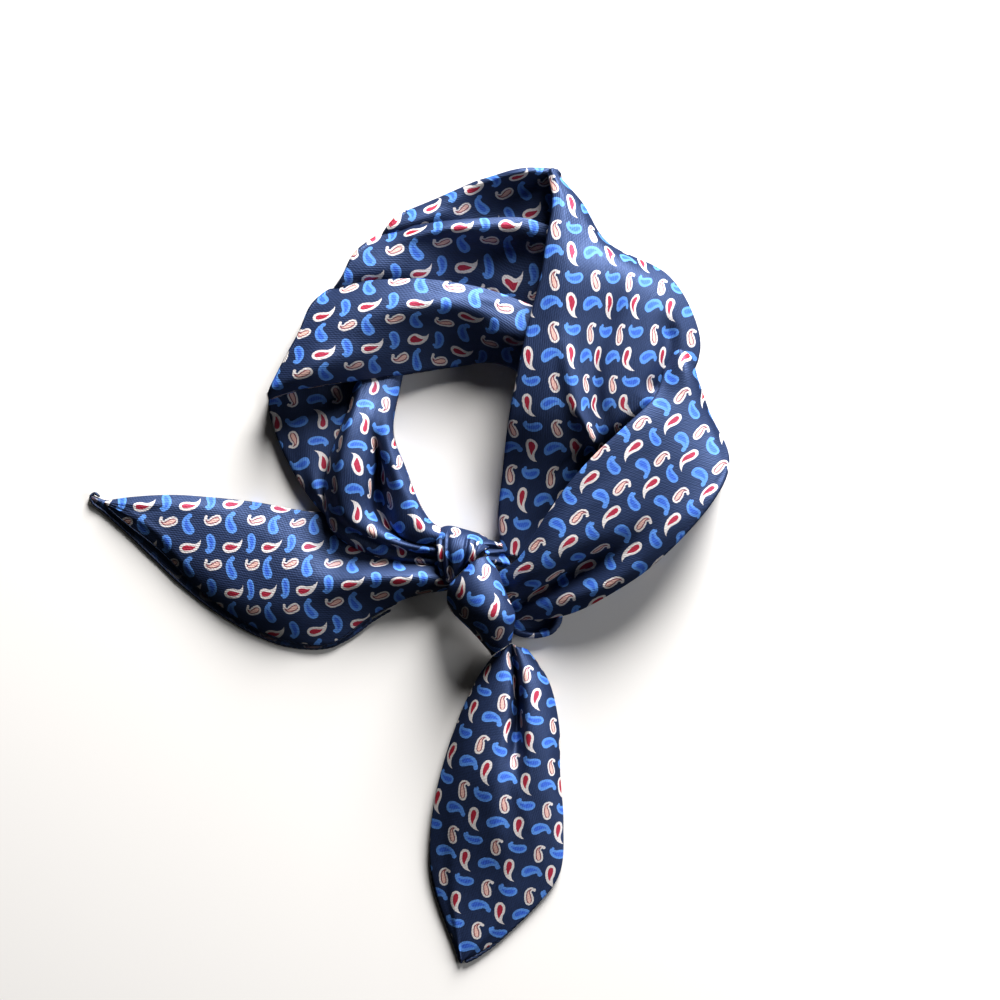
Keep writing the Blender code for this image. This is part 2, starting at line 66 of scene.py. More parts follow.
def curveThrough(rows, knots, at):
    # A smooth curve through the rows: a cubic in each gap, whose slope at a row is
    # that of the parabola through the row and its two neighbours.
    rows = np.asarray(rows)
    column = (-1,) + (1,) * (rows.ndim - 1)
    gaps = np.diff(knots).reshape(column)
    chords = np.diff(rows, axis=0) / gaps
    slopes = np.zeros_like(rows)
    slopes[1:-1] = (chords[:-1] * gaps[1:] + chords[1:] * gaps[:-1]) / (gaps[1:] + gaps[:-1])
    slopes[0] = 1.5 * chords[0] - 0.5 * slopes[1]
    slopes[-1] = 1.5 * chords[-1] - 0.5 * slopes[-2]
    i = np.clip(np.searchsorted(knots, at, side="right") - 1, 0, len(knots) - 2)
    gap = gaps[i]
    t = ((at - knots[i]) / np.diff(knots)[i]).reshape(column)
    ends = (1 + 2 * t) * (1 - t) ** 2 * rows[i] + t * t * (3 - 2 * t) * rows[i + 1]
    bends = t * (1 - t) ** 2 * slopes[i] - t * t * (1 - t) * slopes[i + 1]
    return ends + gap * bends


def lengthAlong(line):
    # Length of a line of points up to each of them.
    return np.concatenate([[0.0], np.cumsum(np.linalg.norm(np.diff(line, axis=0), axis=1))])


def evenRows(rows, spacing):
    # The same curve, sampled at even steps of its mean length.
    steps = np.linalg.norm(np.diff(rows, axis=0), axis=-1)
    knots = np.concatenate([[0.0], np.cumsum(steps.reshape(len(steps), -1).mean(axis=1))])
    count = max(3, int(math.ceil(knots[-1] / spacing)) + 1)
    return curveThrough(rows, knots, np.linspace(0.0, knots[-1], count))


def foldedGrid(folds, spacing):
    # Top surface of a stretch [across, along]: fold lines smoothed along the travel,
    # then joined smoothly across it.
    table = np.array(list(folds.values()), float)
    along = evenRows(table.transpose(1, 0, 2), spacing)
    return evenRows(along.transpose(1, 0, 2), spacing)


def smoothStep(t):
    # Rises from 0 to 1, level at both ends: three t squared less two t cubed.
    t = np.clip(t, 0.0, 1.0)
    return t * t * (3 - 2 * t)


def besideLine(grid, line):
    # For every point of the grid: its level distance to a line, positive on the line's left, and
    # the share of the line's length at which it is nearest.
    line = np.asarray(line, float)
    knots = lengthAlong(line)
    line = curveThrough(line, knots, np.linspace(0.0, knots[-1], 4 * len(line)))
    xy = grid[..., :2]
    reach = lengthAlong(line)
    nearest = np.full(xy.shape[:-1], 1e9)
    signed = np.zeros_like(nearest)
    share = np.zeros_like(nearest)
    for start, finish, before in zip(line[:-1], line[1:], reach):
        ahead = finish - start
        length = np.linalg.norm(ahead)
        away = xy - start
        t = np.clip(away @ ahead / length**2, 0.0, 1.0)
        gap = np.linalg.norm(away - t[..., None] * ahead, axis=-1)
        closer = gap < nearest
        side = np.sign(ahead[0] * away[..., 1] - ahead[1] * away[..., 0])
        nearest = np.where(closer, gap, nearest)
        signed = np.where(closer, gap * side, signed)
        share = np.where(closer, (before + t * length) / reach[-1], share)
    return signed, share


def creased(grid, creases):
    # Each crease lifts the cloth, or sinks it, by a bell curve of the distance from a line on the
    # floor plan, and fades over a share of its length at either end.
    for crease in creases:
        signed, share = besideLine(grid, crease["line"])
        fadeIn, fadeOut = crease["fade"]
        fade = smoothStep(share / fadeIn) * smoothStep((1 - share) / fadeOut)
        grid[..., 2] += crease["height"] * fade * np.exp(-((signed / crease["width"]) ** 2))
    return grid


slackLook = {
    "lean": 0.22,  # mm across for each mm along, give or take
    "long": (12.0, 34.0),
    "narrow": (2.2, 5.0),
    "swell": (0.35, 1.0),  # shares of the piece's own slack height
    "middle": (0.05, 0.95),  # of the width, where a swelling's middle may lie
    "quiet": 6.0,  # width in which it dies away towards an edge
}


def softFolds(grid, seed, count, height):
    # Slack in the cloth: seeded swellings up or down, each a bell curve that is long with the travel
    # and narrow across it.
    rng = np.random.default_rng(seed)
    width = np.linalg.norm(np.diff(grid, axis=0), axis=-1).sum(axis=0).mean()
    length = np.linalg.norm(np.diff(grid, axis=1), axis=-1).sum(axis=1).mean()
    v = np.linspace(0.0, width, grid.shape[0])[:, None]
    u = np.linspace(0.0, length, grid.shape[1])[None, :]
    lift = np.zeros(grid.shape[:2])
    for _ in range(count):
        u0, v0 = rng.uniform(0.0, length), rng.uniform(*slackLook["middle"]) * width
        lean = rng.normal(0.0, slackLook["lean"])
        long = rng.uniform(*slackLook["long"])
        narrow = rng.uniform(*slackLook["narrow"])
        swell = rng.uniform(*slackLook["swell"]) * height * rng.choice([-1.0, 1.0])
        across = (v - v0 - lean * (u - u0)) / narrow
        lift += swell * np.exp(-(across**2) - ((u - u0) / long) ** 2)
    quiet = np.minimum(v, width - v) / slackLook["quiet"]
    grid[..., 2] += lift * smoothStep(quiet)
    return grid


flatLook = {
    "across": 24,  # lines of the coarse grid that is laid flat
    "along": 46,
    "steps": 70,
    "anchorPull": 6.0,  # of the print's settled places, beside 1 for the cloth's own shape
    "anchorReach": 15.0,  # of the smooth shift that brings the print the rest of the way
    "anchorEase": 0.12,  # how far that shift may fall short
}
cellPairs = ((0, 1), (1, 2), (2, 3), (3, 0), (0, 2), (1, 3))  # sides and diagonals of a cell


def cellCorners(index):
    # The four corners of every cell of a grid of point numbers, in turn.
    return np.stack([index[:-1, :-1], index[:-1, 1:], index[1:, 1:], index[1:, :-1]], axis=-1).reshape(-1, 4)


def cellCards(points):
    # Each cell as a rigid card: its corners in its own plane, as complex numbers whose real part
    # runs with the travel.
    ahead = points[:, 1] - points[:, 0] + points[:, 2] - points[:, 3]
    ahead /= np.linalg.norm(ahead, axis=-1, keepdims=True)
    up = np.cross(points[:, 2] - points[:, 0], points[:, 3] - points[:, 1])
    up /= np.linalg.norm(up, axis=-1, keepdims=True)
    left = np.cross(up, ahead)
    return (points * ahead[:, None]).sum(-1) + 1j * (points * left[:, None]).sum(-1)


def nearestPoint(grid, x, y):
    # The number of the grid's point that is nearest on the floor plan.
    return np.argmin((grid[..., 0] - x) ** 2 + (grid[..., 1] - y) ** 2)


def anchorHolds(grid, index, acrossAt, alongAt, anchors, stretch):
    # Each anchor on the coarse grid: the four corners round it, their shares, and its printed place.
    holds = []
    for x, y, column, row in anchors:
        i, j = np.unravel_index(nearestPoint(grid, x, y), grid.shape[:2])
        fi = np.interp(i, acrossAt, np.arange(len(acrossAt)))
        fj = np.interp(j, alongAt, np.arange(len(alongAt)))
        i0, j0 = min(int(fi), len(acrossAt) - 2), min(int(fj), len(alongAt) - 2)
        ti, tj = fi - i0, fj - j0
        spots = index[i0 : i0 + 2, j0 : j0 + 2].reshape(-1)
        shares = np.array([(1 - ti) * (1 - tj), (1 - ti) * tj, ti * (1 - tj), ti * tj])
        holds.append((spots, shares, clothLook["repeat"] * (column * stretch[0] + 1j * row * stretch[1])))
    return holds


def shiftedToAnchors(grid, flat, anchors):
    # Shifts the flat cloth by a sum of bell curves round the anchors, weighted so that together they
    # bring the print to its settled places.
    nearest = [nearestPoint(grid, x, y) for x, y, _, _ in anchors]
    printed = flat.ravel()[nearest]
    short = clothLook["repeat"] * np.array([column + 1j * row for _, _, column, row in anchors]) - printed
    spread = np.exp(-((np.abs(printed[:, None] - printed) / flatLook["anchorReach"]) ** 2))
    weights = np.linalg.solve(spread + flatLook["anchorEase"] * np.eye(len(anchors)), short)
    for place, weight in zip(printed, weights):
        flat = flat + weight * np.exp(-((np.abs(flat - place) / flatLook["anchorReach"]) ** 2))
    return flat


def flattened(grid, anchors, phase, stretch):
    # The cloth laid flat again, as complex numbers in millimetres: the real part runs with the travel.
    # Each cell turns as a rigid card would, and the corners meet where the cards agree best. The
    # anchors, each a place on the plan with its column and row of the print, pull the flat cloth
    # towards the chart, and a smooth shift brings it the rest of the way. Silk pulled on the bias is
    # longer and narrower than it was printed, by the two shares of stretch.
    def evenLines(count, most):
        return np.unique(np.round(np.linspace(0, count - 1, min(most, count))).astype(int))

    acrossAt = evenLines(grid.shape[0], flatLook["across"])
    alongAt = evenLines(grid.shape[1], flatLook["along"])
    coarse = grid[np.ix_(acrossAt, alongAt)]
    rows, columns = coarse.shape[:2]
    index = np.arange(rows * columns).reshape(rows, columns)
    middle = rows // 2
    u = lengthAlong(coarse[middle])
    acrossSteps = np.linalg.norm(np.diff(coarse, axis=0), axis=-1)
    v = np.concatenate([np.zeros((1, columns)), np.cumsum(acrossSteps, axis=0)])
    flat = (u[None, :] + 1j * (v - v[middle])).reshape(-1)
    corners = cellCorners(index)
    card = cellCards(coarse.reshape(-1, 3)[corners])

    total = rows * columns
    pull = np.zeros((total, total))
    for a, b in cellPairs:
        for first, second, share in ((a, a, 1.0), (b, b, 1.0), (a, b, -1.0), (b, a, -1.0)):
            np.add.at(pull, (corners[:, first], corners[:, second]), share)
    held = anchorHolds(grid, index, acrossAt, alongAt, anchors, stretch)
    if not held:
        centre = index[middle, columns // 2 : columns // 2 + 1]
        held = [(centre, np.ones(1), clothLook["repeat"] * complex(*phase))]
    target = np.zeros(total, complex)
    for spots, shares, place in held:
        pull[np.ix_(spots, spots)] += flatLook["anchorPull"] * np.outer(shares, shares)
        target[spots] += flatLook["anchorPull"] * shares * place
    flat += np.mean([place - (shares * flat[spots]).sum() for spots, shares, place in held])
    pull[np.diag_indices(total)] += 1e-7  # keeps it solvable
    solve = np.linalg.inv(pull)
    for _ in range(flatLook["steps"]):
        turn = np.zeros(len(corners), complex)
        for a, b in cellPairs:
            turn += (flat[corners[:, a]] - flat[corners[:, b]]) * np.conj(card[:, a] - card[:, b])
        turn /= np.abs(turn) + 1e-9
        wanted = target.copy()
        for a, b in cellPairs:
            edge = turn * (card[:, a] - card[:, b])
            np.add.at(wanted, corners[:, a], edge)
            np.add.at(wanted, corners[:, b], -edge)
        flat = solve @ wanted

    coarseFlat = (flat.real / stretch[0] + 1j * flat.imag / stretch[1]).reshape(rows, columns)
    alongFlat = curveThrough(coarseFlat.T, alongAt.astype(float), np.arange(grid.shape[1], dtype=float))
    whole = curveThrough(alongFlat.T, acrossAt.astype(float), np.arange(grid.shape[0], dtype=float))
    return shiftedToAnchors(grid, whole, anchors) if anchors else whole


def edgeFrame(grid):
    # At the last row: the level direction out of the cloth and the angle at which the cloth falls there.
    edge = grid[-1]
    before = grid[-3]
    ahead = np.gradient(edge[:, :2], axis=0)
    out = np.stack([-ahead[:, 1], ahead[:, 0]], axis=1)
    out /= np.linalg.norm(out, axis=1, keepdims=True) + 1e-9
    out *= np.sign(((edge - before)[:, :2] * out).sum(axis=1).mean())
    run = np.linalg.norm((edge - before)[:, :2], axis=1)
    fall = np.arctan2(before[:, 2] - edge[:, 2], run)
    fall = np.convolve(np.pad(fall, 4, mode="edge"), np.ones(9) / 9, mode="valid")
    return out, np.clip(fall, -0.3, 1.3)


def lapRows(height, fall, look):
    # A fold that turns under: an arc of one small radius from the cloth's own slope to past level,
    # then straight back beneath. Gives the ways out and down of each row.
    radius = look["rollRadius"]
    turns = np.linspace(0.0, 1.0, 9)[1:, None]
    angle = fall[None, :] + turns * (math.radians(look["tuckEnd"]) - fall[None, :])
    outward = radius * (np.sin(angle) - np.sin(fall)[None, :])
    down = radius * (np.cos(fall)[None, :] - np.cos(angle))
    back = np.linspace(0.0, look["tuckBack"], 7)[1:, None]
    outward = np.concatenate([outward, outward[-1:] - back])
    down = np.concatenate([down, down[-1:] + look["tuckSlope"] * back])
    return outward, down


def dropRows(height, fall, look):
    # A standing edge of stacked layers: an arc over the top, then a wall down to the floor whose
    # outline is drawn in by a small bell between one layer and the next, then a short tuck under.
    foot = np.minimum(look["footHeight"], 0.3 * height)
    radius = np.minimum(look["brimRadius"], 0.28 * height)
    turns = np.linspace(0.0, 1.0, 7)[1:, None]
    angle = fall[None, :] + turns * np.maximum(math.radians(90) - fall, 0.05)[None, :]
    outward = radius * (np.sin(angle) - np.sin(fall)[None, :])
    down = radius * (np.cos(fall)[None, :] - np.cos(angle))
    wall = np.linspace(0.0, 1.0, 25)[1:, None]
    left = height - down[-1] - foot
    layers = max(1, int(round(np.median(left) / look["layerPitch"])))
    shift = 0.18 * np.sin(np.arange(len(height)) * 0.045 + layers) + 0.5 * foot  # so that they wander
    rise = wall * (layers + 0.25) + shift[None, :] * 0.4
    between = np.abs(rise - np.round(rise))
    groove = look["layerGroove"] * np.exp(-((between / look["layerGap"]) ** 2))
    groove = groove * (wall > 0.06) * (wall < 0.97)
    groove = groove * np.minimum(1.0, left / 4.0)[None, :]
    outward = np.concatenate([outward, outward[-1:] - groove])
    down = np.concatenate([down, down[5:6] + left[None, :] * wall])
    tuck = np.linspace(0.0, 1.0, 5)[1:, None]
    outward = np.concatenate([outward, outward[-1:] - look["footTuck"] * tuck])
    down = np.concatenate([down, down[-1:] + 0.25 * foot[None, :] * np.sin(tuck * math.pi / 2)])
    return outward, down


edgeKinds = {"lap": lapRows, "drop": dropRows}


def withLastEdge(grid, flat, kind, look, core=None):
    # Adds the rows of an edge after the grid's last row; the print runs on by length. Where the row
    # already has edges of its own at its two ends, they leave in the directions of its core's ends.
    if kind is None:
        return grid, flat
    first, last = core or (0, grid.shape[1])
    edge = grid[-1]
    out, fall = edgeFrame(grid[:, first:last])
    outside = ((first, grid.shape[1] - last),)
    out = np.pad(out, outside + ((0, 0),), mode="edge")
    fall = np.pad(fall, outside, mode="edge")
    outward, down = edgeKinds[kind](edge[:, 2], fall, look)
    if core:
        run = lengthAlong(edge[:, :2])
        inset = np.minimum(run - run[first], run[last - 1] - run) / look["cornerRadius"]
        inset[:first], inset[last:] = 0.0, 0.0
        outward = outward * np.sqrt(1 - (1 - np.clip(inset, 0.0, 1.0)) ** 2)[None, :]
    rows = np.repeat(edge[None], len(outward), axis=0)
    rows[..., :2] += out[None] * outward[..., None]
    rows[..., 2] -= down
    steps = np.linalg.norm(np.diff(np.concatenate([edge[None], rows]), axis=0), axis=-1)
    ahead = flat[-1] - flat[-3]
    ahead /= np.abs(ahead) + 1e-9
    more = flat[-1][None] + ahead[None] * np.cumsum(steps, axis=0)
    return np.concatenate([grid, rows]), np.concatenate([flat, more])


def withEdges(grid, flat, kinds, look):
    # Edges in turn: right and left of the travel, then its start and end.
    right, left, start, end = kinds
    rows = len(grid)
    grid, flat = withLastEdge(grid, flat, left, look)
    added = len(grid) - rows
    grid, flat = withLastEdge(grid[::-1], flat[::-1], right, look)
    core = (len(grid) - rows - added, len(grid) - added)
    grid, flat = grid[::-1].transpose(1, 0, 2), flat[::-1].T
    grid, flat = withLastEdge(grid, flat, end, look, core)
    grid, flat = withLastEdge(grid[::-1], flat[::-1], start, look, core)
    return grid[::-1].transpose(1, 0, 2), flat[::-1].T


def gridMesh(name, grid, flat, closedAcross=False):
    # A grid of points [across, along] as quads, with the flat cloth as its map in repeats of the print.
    rows, columns = grid.shape[:2]
    index = np.arange(rows * columns).reshape(rows, columns)
    if closedAcross:
        index = np.concatenate([index, index[:1]])
    quads = cellCorners(index)
    mesh = bpy.data.meshes.new(name)
    mesh.vertices.add(rows * columns)
    mesh.vertices.foreach_set("co", (grid.reshape(-1, 3) * mm).ravel())
    mesh.loops.add(quads.size)
    mesh.loops.foreach_set("vertex_index", quads.ravel())
    mesh.polygons.add(len(quads))
    mesh.polygons.foreach_set("loop_start", np.arange(0, quads.size, 4))
    mesh.update(calc_edges=True)
    mesh.polygons.foreach_set("use_smooth", np.ones(len(quads), bool))
    places = flat.reshape(-1)[quads.ravel()] / clothLook["repeat"]
    layer = mesh.uv_layers.new(name="clothFlat")
    layer.data.foreach_set("uv", np.stack([places.real, places.imag], axis=1).ravel())
    piece = bpy.data.objects.new(name, mesh)
    bpy.context.scene.collection.objects.link(piece)
    return piece


hemLook = {
    "spacing": 0.5,
    "sides": 14,
    "stitchPitch": 2.6,
    "swell": 0.10,  # between stitches, a share of the radius
    "uneven": (0.08, 0.05),  # slow and quick waves of thickness
    "ribPitch": 0.7,
    "threadFrom": 0.86,  # of the stitch wave, above which there is thread
    "threadShare": 0.35,  # of pale blue in its colour
    "roughness": 0.55,
    "bump": (0.6, 0.0002),  # strength and metres
}


def hemTube(name, hem):
    # A rolled hem: a circle carried along the line, whose radius is a sum of cosines that swells
    # between the stitches and rounds off at both ends.
    radius = hem["radius"]
    centre = evenRows(np.array(hem["line"], float)[:, None], hemLook["spacing"])[:, 0]
    ahead = np.gradient(centre, axis=0)
    ahead /= np.linalg.norm(ahead, axis=1, keepdims=True)
    side = np.cross(ahead, (0.0, 0.0, 1.0))
    side /= np.linalg.norm(side, axis=1, keepdims=True)
    over = np.cross(side, ahead)
    run = lengthAlong(centre)
    slow, quick = hemLook["uneven"]
    swell = hemLook["swell"] * np.cos(run * 2 * math.pi / hemLook["stitchPitch"])
    thick = radius * (1 + swell + slow * np.sin(run * 0.31 + 1.0) + quick * np.sin(run * 0.83))
    thick *= np.sqrt(1 - (1 - np.clip(np.minimum(run, run[-1] - run) / (2 * radius), 0.0, 1.0)) ** 2)
    turn = np.linspace(0.0, 2 * math.pi, hemLook["sides"], endpoint=False)[:, None, None]
    tube = centre + thick[:, None] * (np.cos(turn) * side + np.sin(turn) * over)
    tube[..., 2] = np.maximum(tube[..., 2], clothLook["lowest"])
    flat = run[None, :] + 1j * radius * turn[..., 0]
    made = gridMesh(name, tube, flat, closedAcross=True)
    whole = bmesh.new()
    whole.from_mesh(made.data)
    bmesh.ops.remove_doubles(whole, verts=whole.verts, dist=1e-6)
    whole.to_mesh(made.data)
    whole.free()
    made.data.materials.append(silkHem)
    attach(made, "root")
    if "node" in hem:
        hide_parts(hem["node"])
    print(f"{name}: {run[-1]:.0f} mm of rolled hem")
    return made


# the silk, its twill and its print
silkLook = {
    "navy": (0.005, 0.010, 0.034),
    "navyThread": (0.011, 0.023, 0.072),
    "cream": (0.64, 0.60, 0.575),
    "red": (0.38, 0.006, 0.012),
    "pink": (0.76, 0.50, 0.42),
    "brown": (0.21, 0.032, 0.028),
    "paleBlue": (0.10, 0.255, 0.62),
    "deepBlue": (0.020, 0.085, 0.50),
    "ribPitch": 1.05,  # mm between twill ribs
    "ribSlant": 0.16,
    "ribUneven": 9.0,  # radians by which streaks shift the ribs
    "streaks": (5.0, 30.0),  # of the thread noise, along and across, in each repeat
    "pick": (0.74, 0.5),  # the threads that cross the ribs, along and across
    "pickShare": 0.28,
    "waver": 0.022,  # of the printed lines, in repeats
    "waverScale": 22.0,
    "sharpness": 7.0,  # of the printed lines, for each mm
    "outline": 0.1,  # mm inside the stroke's edge at which colour starts
    "coreLine": 0.06,
    "blueCore": (1.9, 0.5, 0.92),  # rise for each mm, mm inside the edge, and share of deep blue
    "pinkCore": (0.52, 0.92),  # mm inside the core's edge, and share of pink
    "navyWeave": (0.32, 0.42, 1.6),  # of light threads: by weave, in all, and of the streaks in it
    "blueWeave": (0.22, 0.16),
    "threadShade": (0.07, 0.22),  # of the weave and of the streaks, on every colour
    "threadGloss": (0.16, 0.05),  # of the streaks and of the print, on the roughness
    "reverse": 0.72,  # of navy over the print on the reverse side
    # painted shade: the whole colour of the reverse side is darkened to this share, for the shadow it lies in
    "reversePaintedShade": 0.8,
    "roughness": 0.6,
    "ior": 1.62,
    "shine": (0.40, 0.56, 1.0),
    "bump": (0.55, 0.00009),  # strength and metres
}
# Each droplet is a tapered stroke, straight at its round head and curling towards its tail, with a
# core of the same kind inside it and perhaps a round knob at its tail. All in mm, apart from the
# shares; long and half are the stroke's length and its half width before the taper; blunt below a
# half makes its ends rounder; tilt turns the whole droplet, in radians.
droplets = {
    "red": {
        "tilt": 0.0, "curl": 5.2, "head": -5.1, "long": 12.3, "half": 3.75, "taper": 0.91, "straight": 1.0,
        "blunt": 0.48, "shift": (0.3, 1.0), "knob": None,
        "core": {"inset": 1.25, "long": 0.52, "half": 0.48, "taper": 0.72},
    },
    "pink": {
        "tilt": 0.36, "curl": 1.9, "head": -5.4, "long": 10.5, "half": 3.3, "taper": 0.74, "straight": 1.0,
        "blunt": 0.44, "shift": (-0.4, -0.8), "knob": (1.25, 3.3, 0.85),
        "core": {"inset": 0.95, "long": 0.74, "half": 0.6, "taper": 0.8},
    },
    "large": {
        "tilt": 0.0, "curl": 3.2, "head": -5.6, "long": 10.0, "half": 3.0, "taper": 0.66, "straight": 0.55,
        "blunt": 0.4, "shift": (1.6, 1.4), "knob": (2.8, 1.65, 1.3),
        "core": {"inset": 0.9, "long": 0.66, "half": 0.6, "taper": 0.8},
    },
    "small": {
        "tilt": 0.0, "curl": 4.2, "head": -4.7, "long": 9.4, "half": 2.65, "taper": 0.42, "straight": 0.5,
        "blunt": 0.4, "shift": (-0.5, 0.2), "knob": (2.6, 2.4, 0.85),
        "core": {"inset": 0.8, "long": 0.72, "half": 0.6, "taper": 0.5},
    },
}
mathWords = {
    "plus": "ADD", "minus": "SUBTRACT", "times": "MULTIPLY", "over": "DIVIDE", "power": "POWER",
    "root": "SQRT", "size": "ABSOLUTE", "most": "MAXIMUM", "below": "LESS_THAN", "above": "GREATER_THAN",
    "sine": "SINE", "angle": "ARCTAN2", "fraction": "FRACT",
}


def plugIn(tree, pairs):
    # Sets each socket to its number or colour, or links it to the socket given as its value.
    for socket, value in pairs:
        if isinstance(value, tuple):
            socket.default_value = (*value, 1.0)
        elif isinstance(value, (int, float)):
            socket.default_value = value
        else:
            tree.links.new(value, socket)


def mathIn(tree):
    # Math nodes as words, one node for each call, such as m.plus(socket, 2.0).
    def added(operation, *values, clamp=False):
        node = tree.nodes.new("ShaderNodeMath")
        node.operation = operation
        node.use_clamp = clamp
        plugIn(tree, zip(node.inputs, values))
        return node.outputs[0]

    return SimpleNamespace(**{word: partial(added, operation) for word, operation in mathWords.items()})


def blended(tree, share, first, second):
    # From the first colour to the second by a share of 0 to 1.
    node = tree.nodes.new("ShaderNodeMix")
    node.data_type = "RGBA"
    plugIn(tree, ((node.inputs[0], share), (node.inputs[6], first), (node.inputs[7], second)))
    return node.outputs[2]


def noiseOn(tree, place, scale, detail):
    # Smooth noise over the place on the cloth.
    node = tree.nodes.new("ShaderNodeTexNoise")
    node.inputs["Scale"].default_value = scale
    node.inputs["Detail"].default_value = detail
    tree.links.new(place, node.inputs["Vector"])
    return node


def bumpOn(tree, shader, height, strength, distance):
    node = tree.nodes.new("ShaderNodeBump")
    node.inputs["Strength"].default_value = strength
    node.inputs["Distance"].default_value = distance
    tree.links.new(height, node.inputs["Height"])
    tree.links.new(node.outputs["Normal"], shader.inputs["Normal"])


def clothMaterial(name):
    # A new material with its shader, and the place on the flat cloth in repeats: whole, along, across.
    material = bpy.data.materials.new(name)
    material.use_nodes = True
    tree = material.node_tree
    flatMap = tree.nodes.new("ShaderNodeUVMap")
    flatMap.uv_map = "clothFlat"
    parts = tree.nodes.new("ShaderNodeSeparateXYZ")
    tree.links.new(flatMap.outputs["UV"], parts.inputs["Vector"])
    place = (flatMap.outputs["UV"], parts.outputs["X"], parts.outputs["Y"])
    return material, tree, tree.nodes["Principled BSDF"], place


def dropletIn(m, a, b, shape):
    # a runs from the droplet's head to its tail and b towards its curl, in mm from its middle.
    # The stroke's middle line is an arc round the curl's centre, straightened over the head, and its
    # half width is that of an ellipse, tapered towards the tail. Gives the distances inside the
    # stroke's edge and inside its core's edge.
    if shape["tilt"]:
        aside, ahead = math.sin(shape["tilt"]), math.cos(shape["tilt"])
        a, b = (
            m.minus(m.times(a, ahead), m.times(b, aside)),
            m.plus(m.times(a, aside), m.times(b, ahead)),
        )
    a = m.minus(a, shape["shift"][0])
    b = m.plus(b, shape["shift"][1])
    below = m.minus(shape["curl"], b)
    radius = m.root(m.plus(m.times(a, a), m.times(below, below)))
    along = m.times(m.angle(a, below), shape["curl"])
    across = m.minus(radius, shape["curl"])
    onHead = m.times(m.below(a, 0.0), shape["straight"])
    across = m.minus(across, m.times(m.plus(b, across), onHead))
    along = m.plus(along, m.times(m.minus(a, along), onHead))
    off = m.size(across)

    def within(start, long, half, taper):
        share = m.over(m.minus(along, start), long, clamp=True)
        bow = m.power(m.times(m.times(share, m.minus(1.0, share)), 4.0), shape["blunt"])
        width = m.times(m.times(bow, m.minus(1.0, m.times(share, taper))), half)
        return m.minus(width, off)

    head, long, half, core = shape["head"], shape["long"], shape["half"], shape["core"]
    stroke = within(head, long, half, shape["taper"])
    if shape["knob"]:
        knobA, knobB, knobRadius = shape["knob"]
        offA, offB = m.minus(a, knobA), m.minus(b, knobB)
        reach = m.root(m.plus(m.times(offA, offA), m.times(offB, offB)))
        stroke = m.most(stroke, m.minus(knobRadius, reach))
    return stroke, within(head + core["inset"], long * core["long"], half * core["half"], core["taper"])


def twillIn(tree, m, along, across):
    # Sine ribs that run with the band, slanted a little and shifted by streaky noise, and a weaker
    # sine across them. Gives the weave and the streaks.
    alongScale, acrossScale = silkLook["streaks"]
    stretch = tree.nodes.new("ShaderNodeCombineXYZ")
    tree.links.new(m.times(along, alongScale), stretch.inputs[0])
    tree.links.new(m.times(across, acrossScale), stretch.inputs[1])
    streak = m.minus(noiseOn(tree, stretch.outputs[0], 1.0, 3.0).outputs[0], 0.5)
    turns = 2 * math.pi * clothLook["repeat"] / silkLook["ribPitch"]
    phase = m.plus(m.times(across, turns), m.times(along, silkLook["ribSlant"] * turns))
    rib = m.sine(m.plus(phase, m.times(streak, silkLook["ribUneven"])))
    pickAlong, pickAcross = silkLook["pick"]
    pick = m.sine(m.plus(m.times(along, pickAlong * turns), m.times(across, pickAcross * turns)))
    weave = m.plus(m.times(rib, 1.0 - silkLook["pickShare"]), m.times(pick, silkLook["pickShare"]))
    return weave, streak


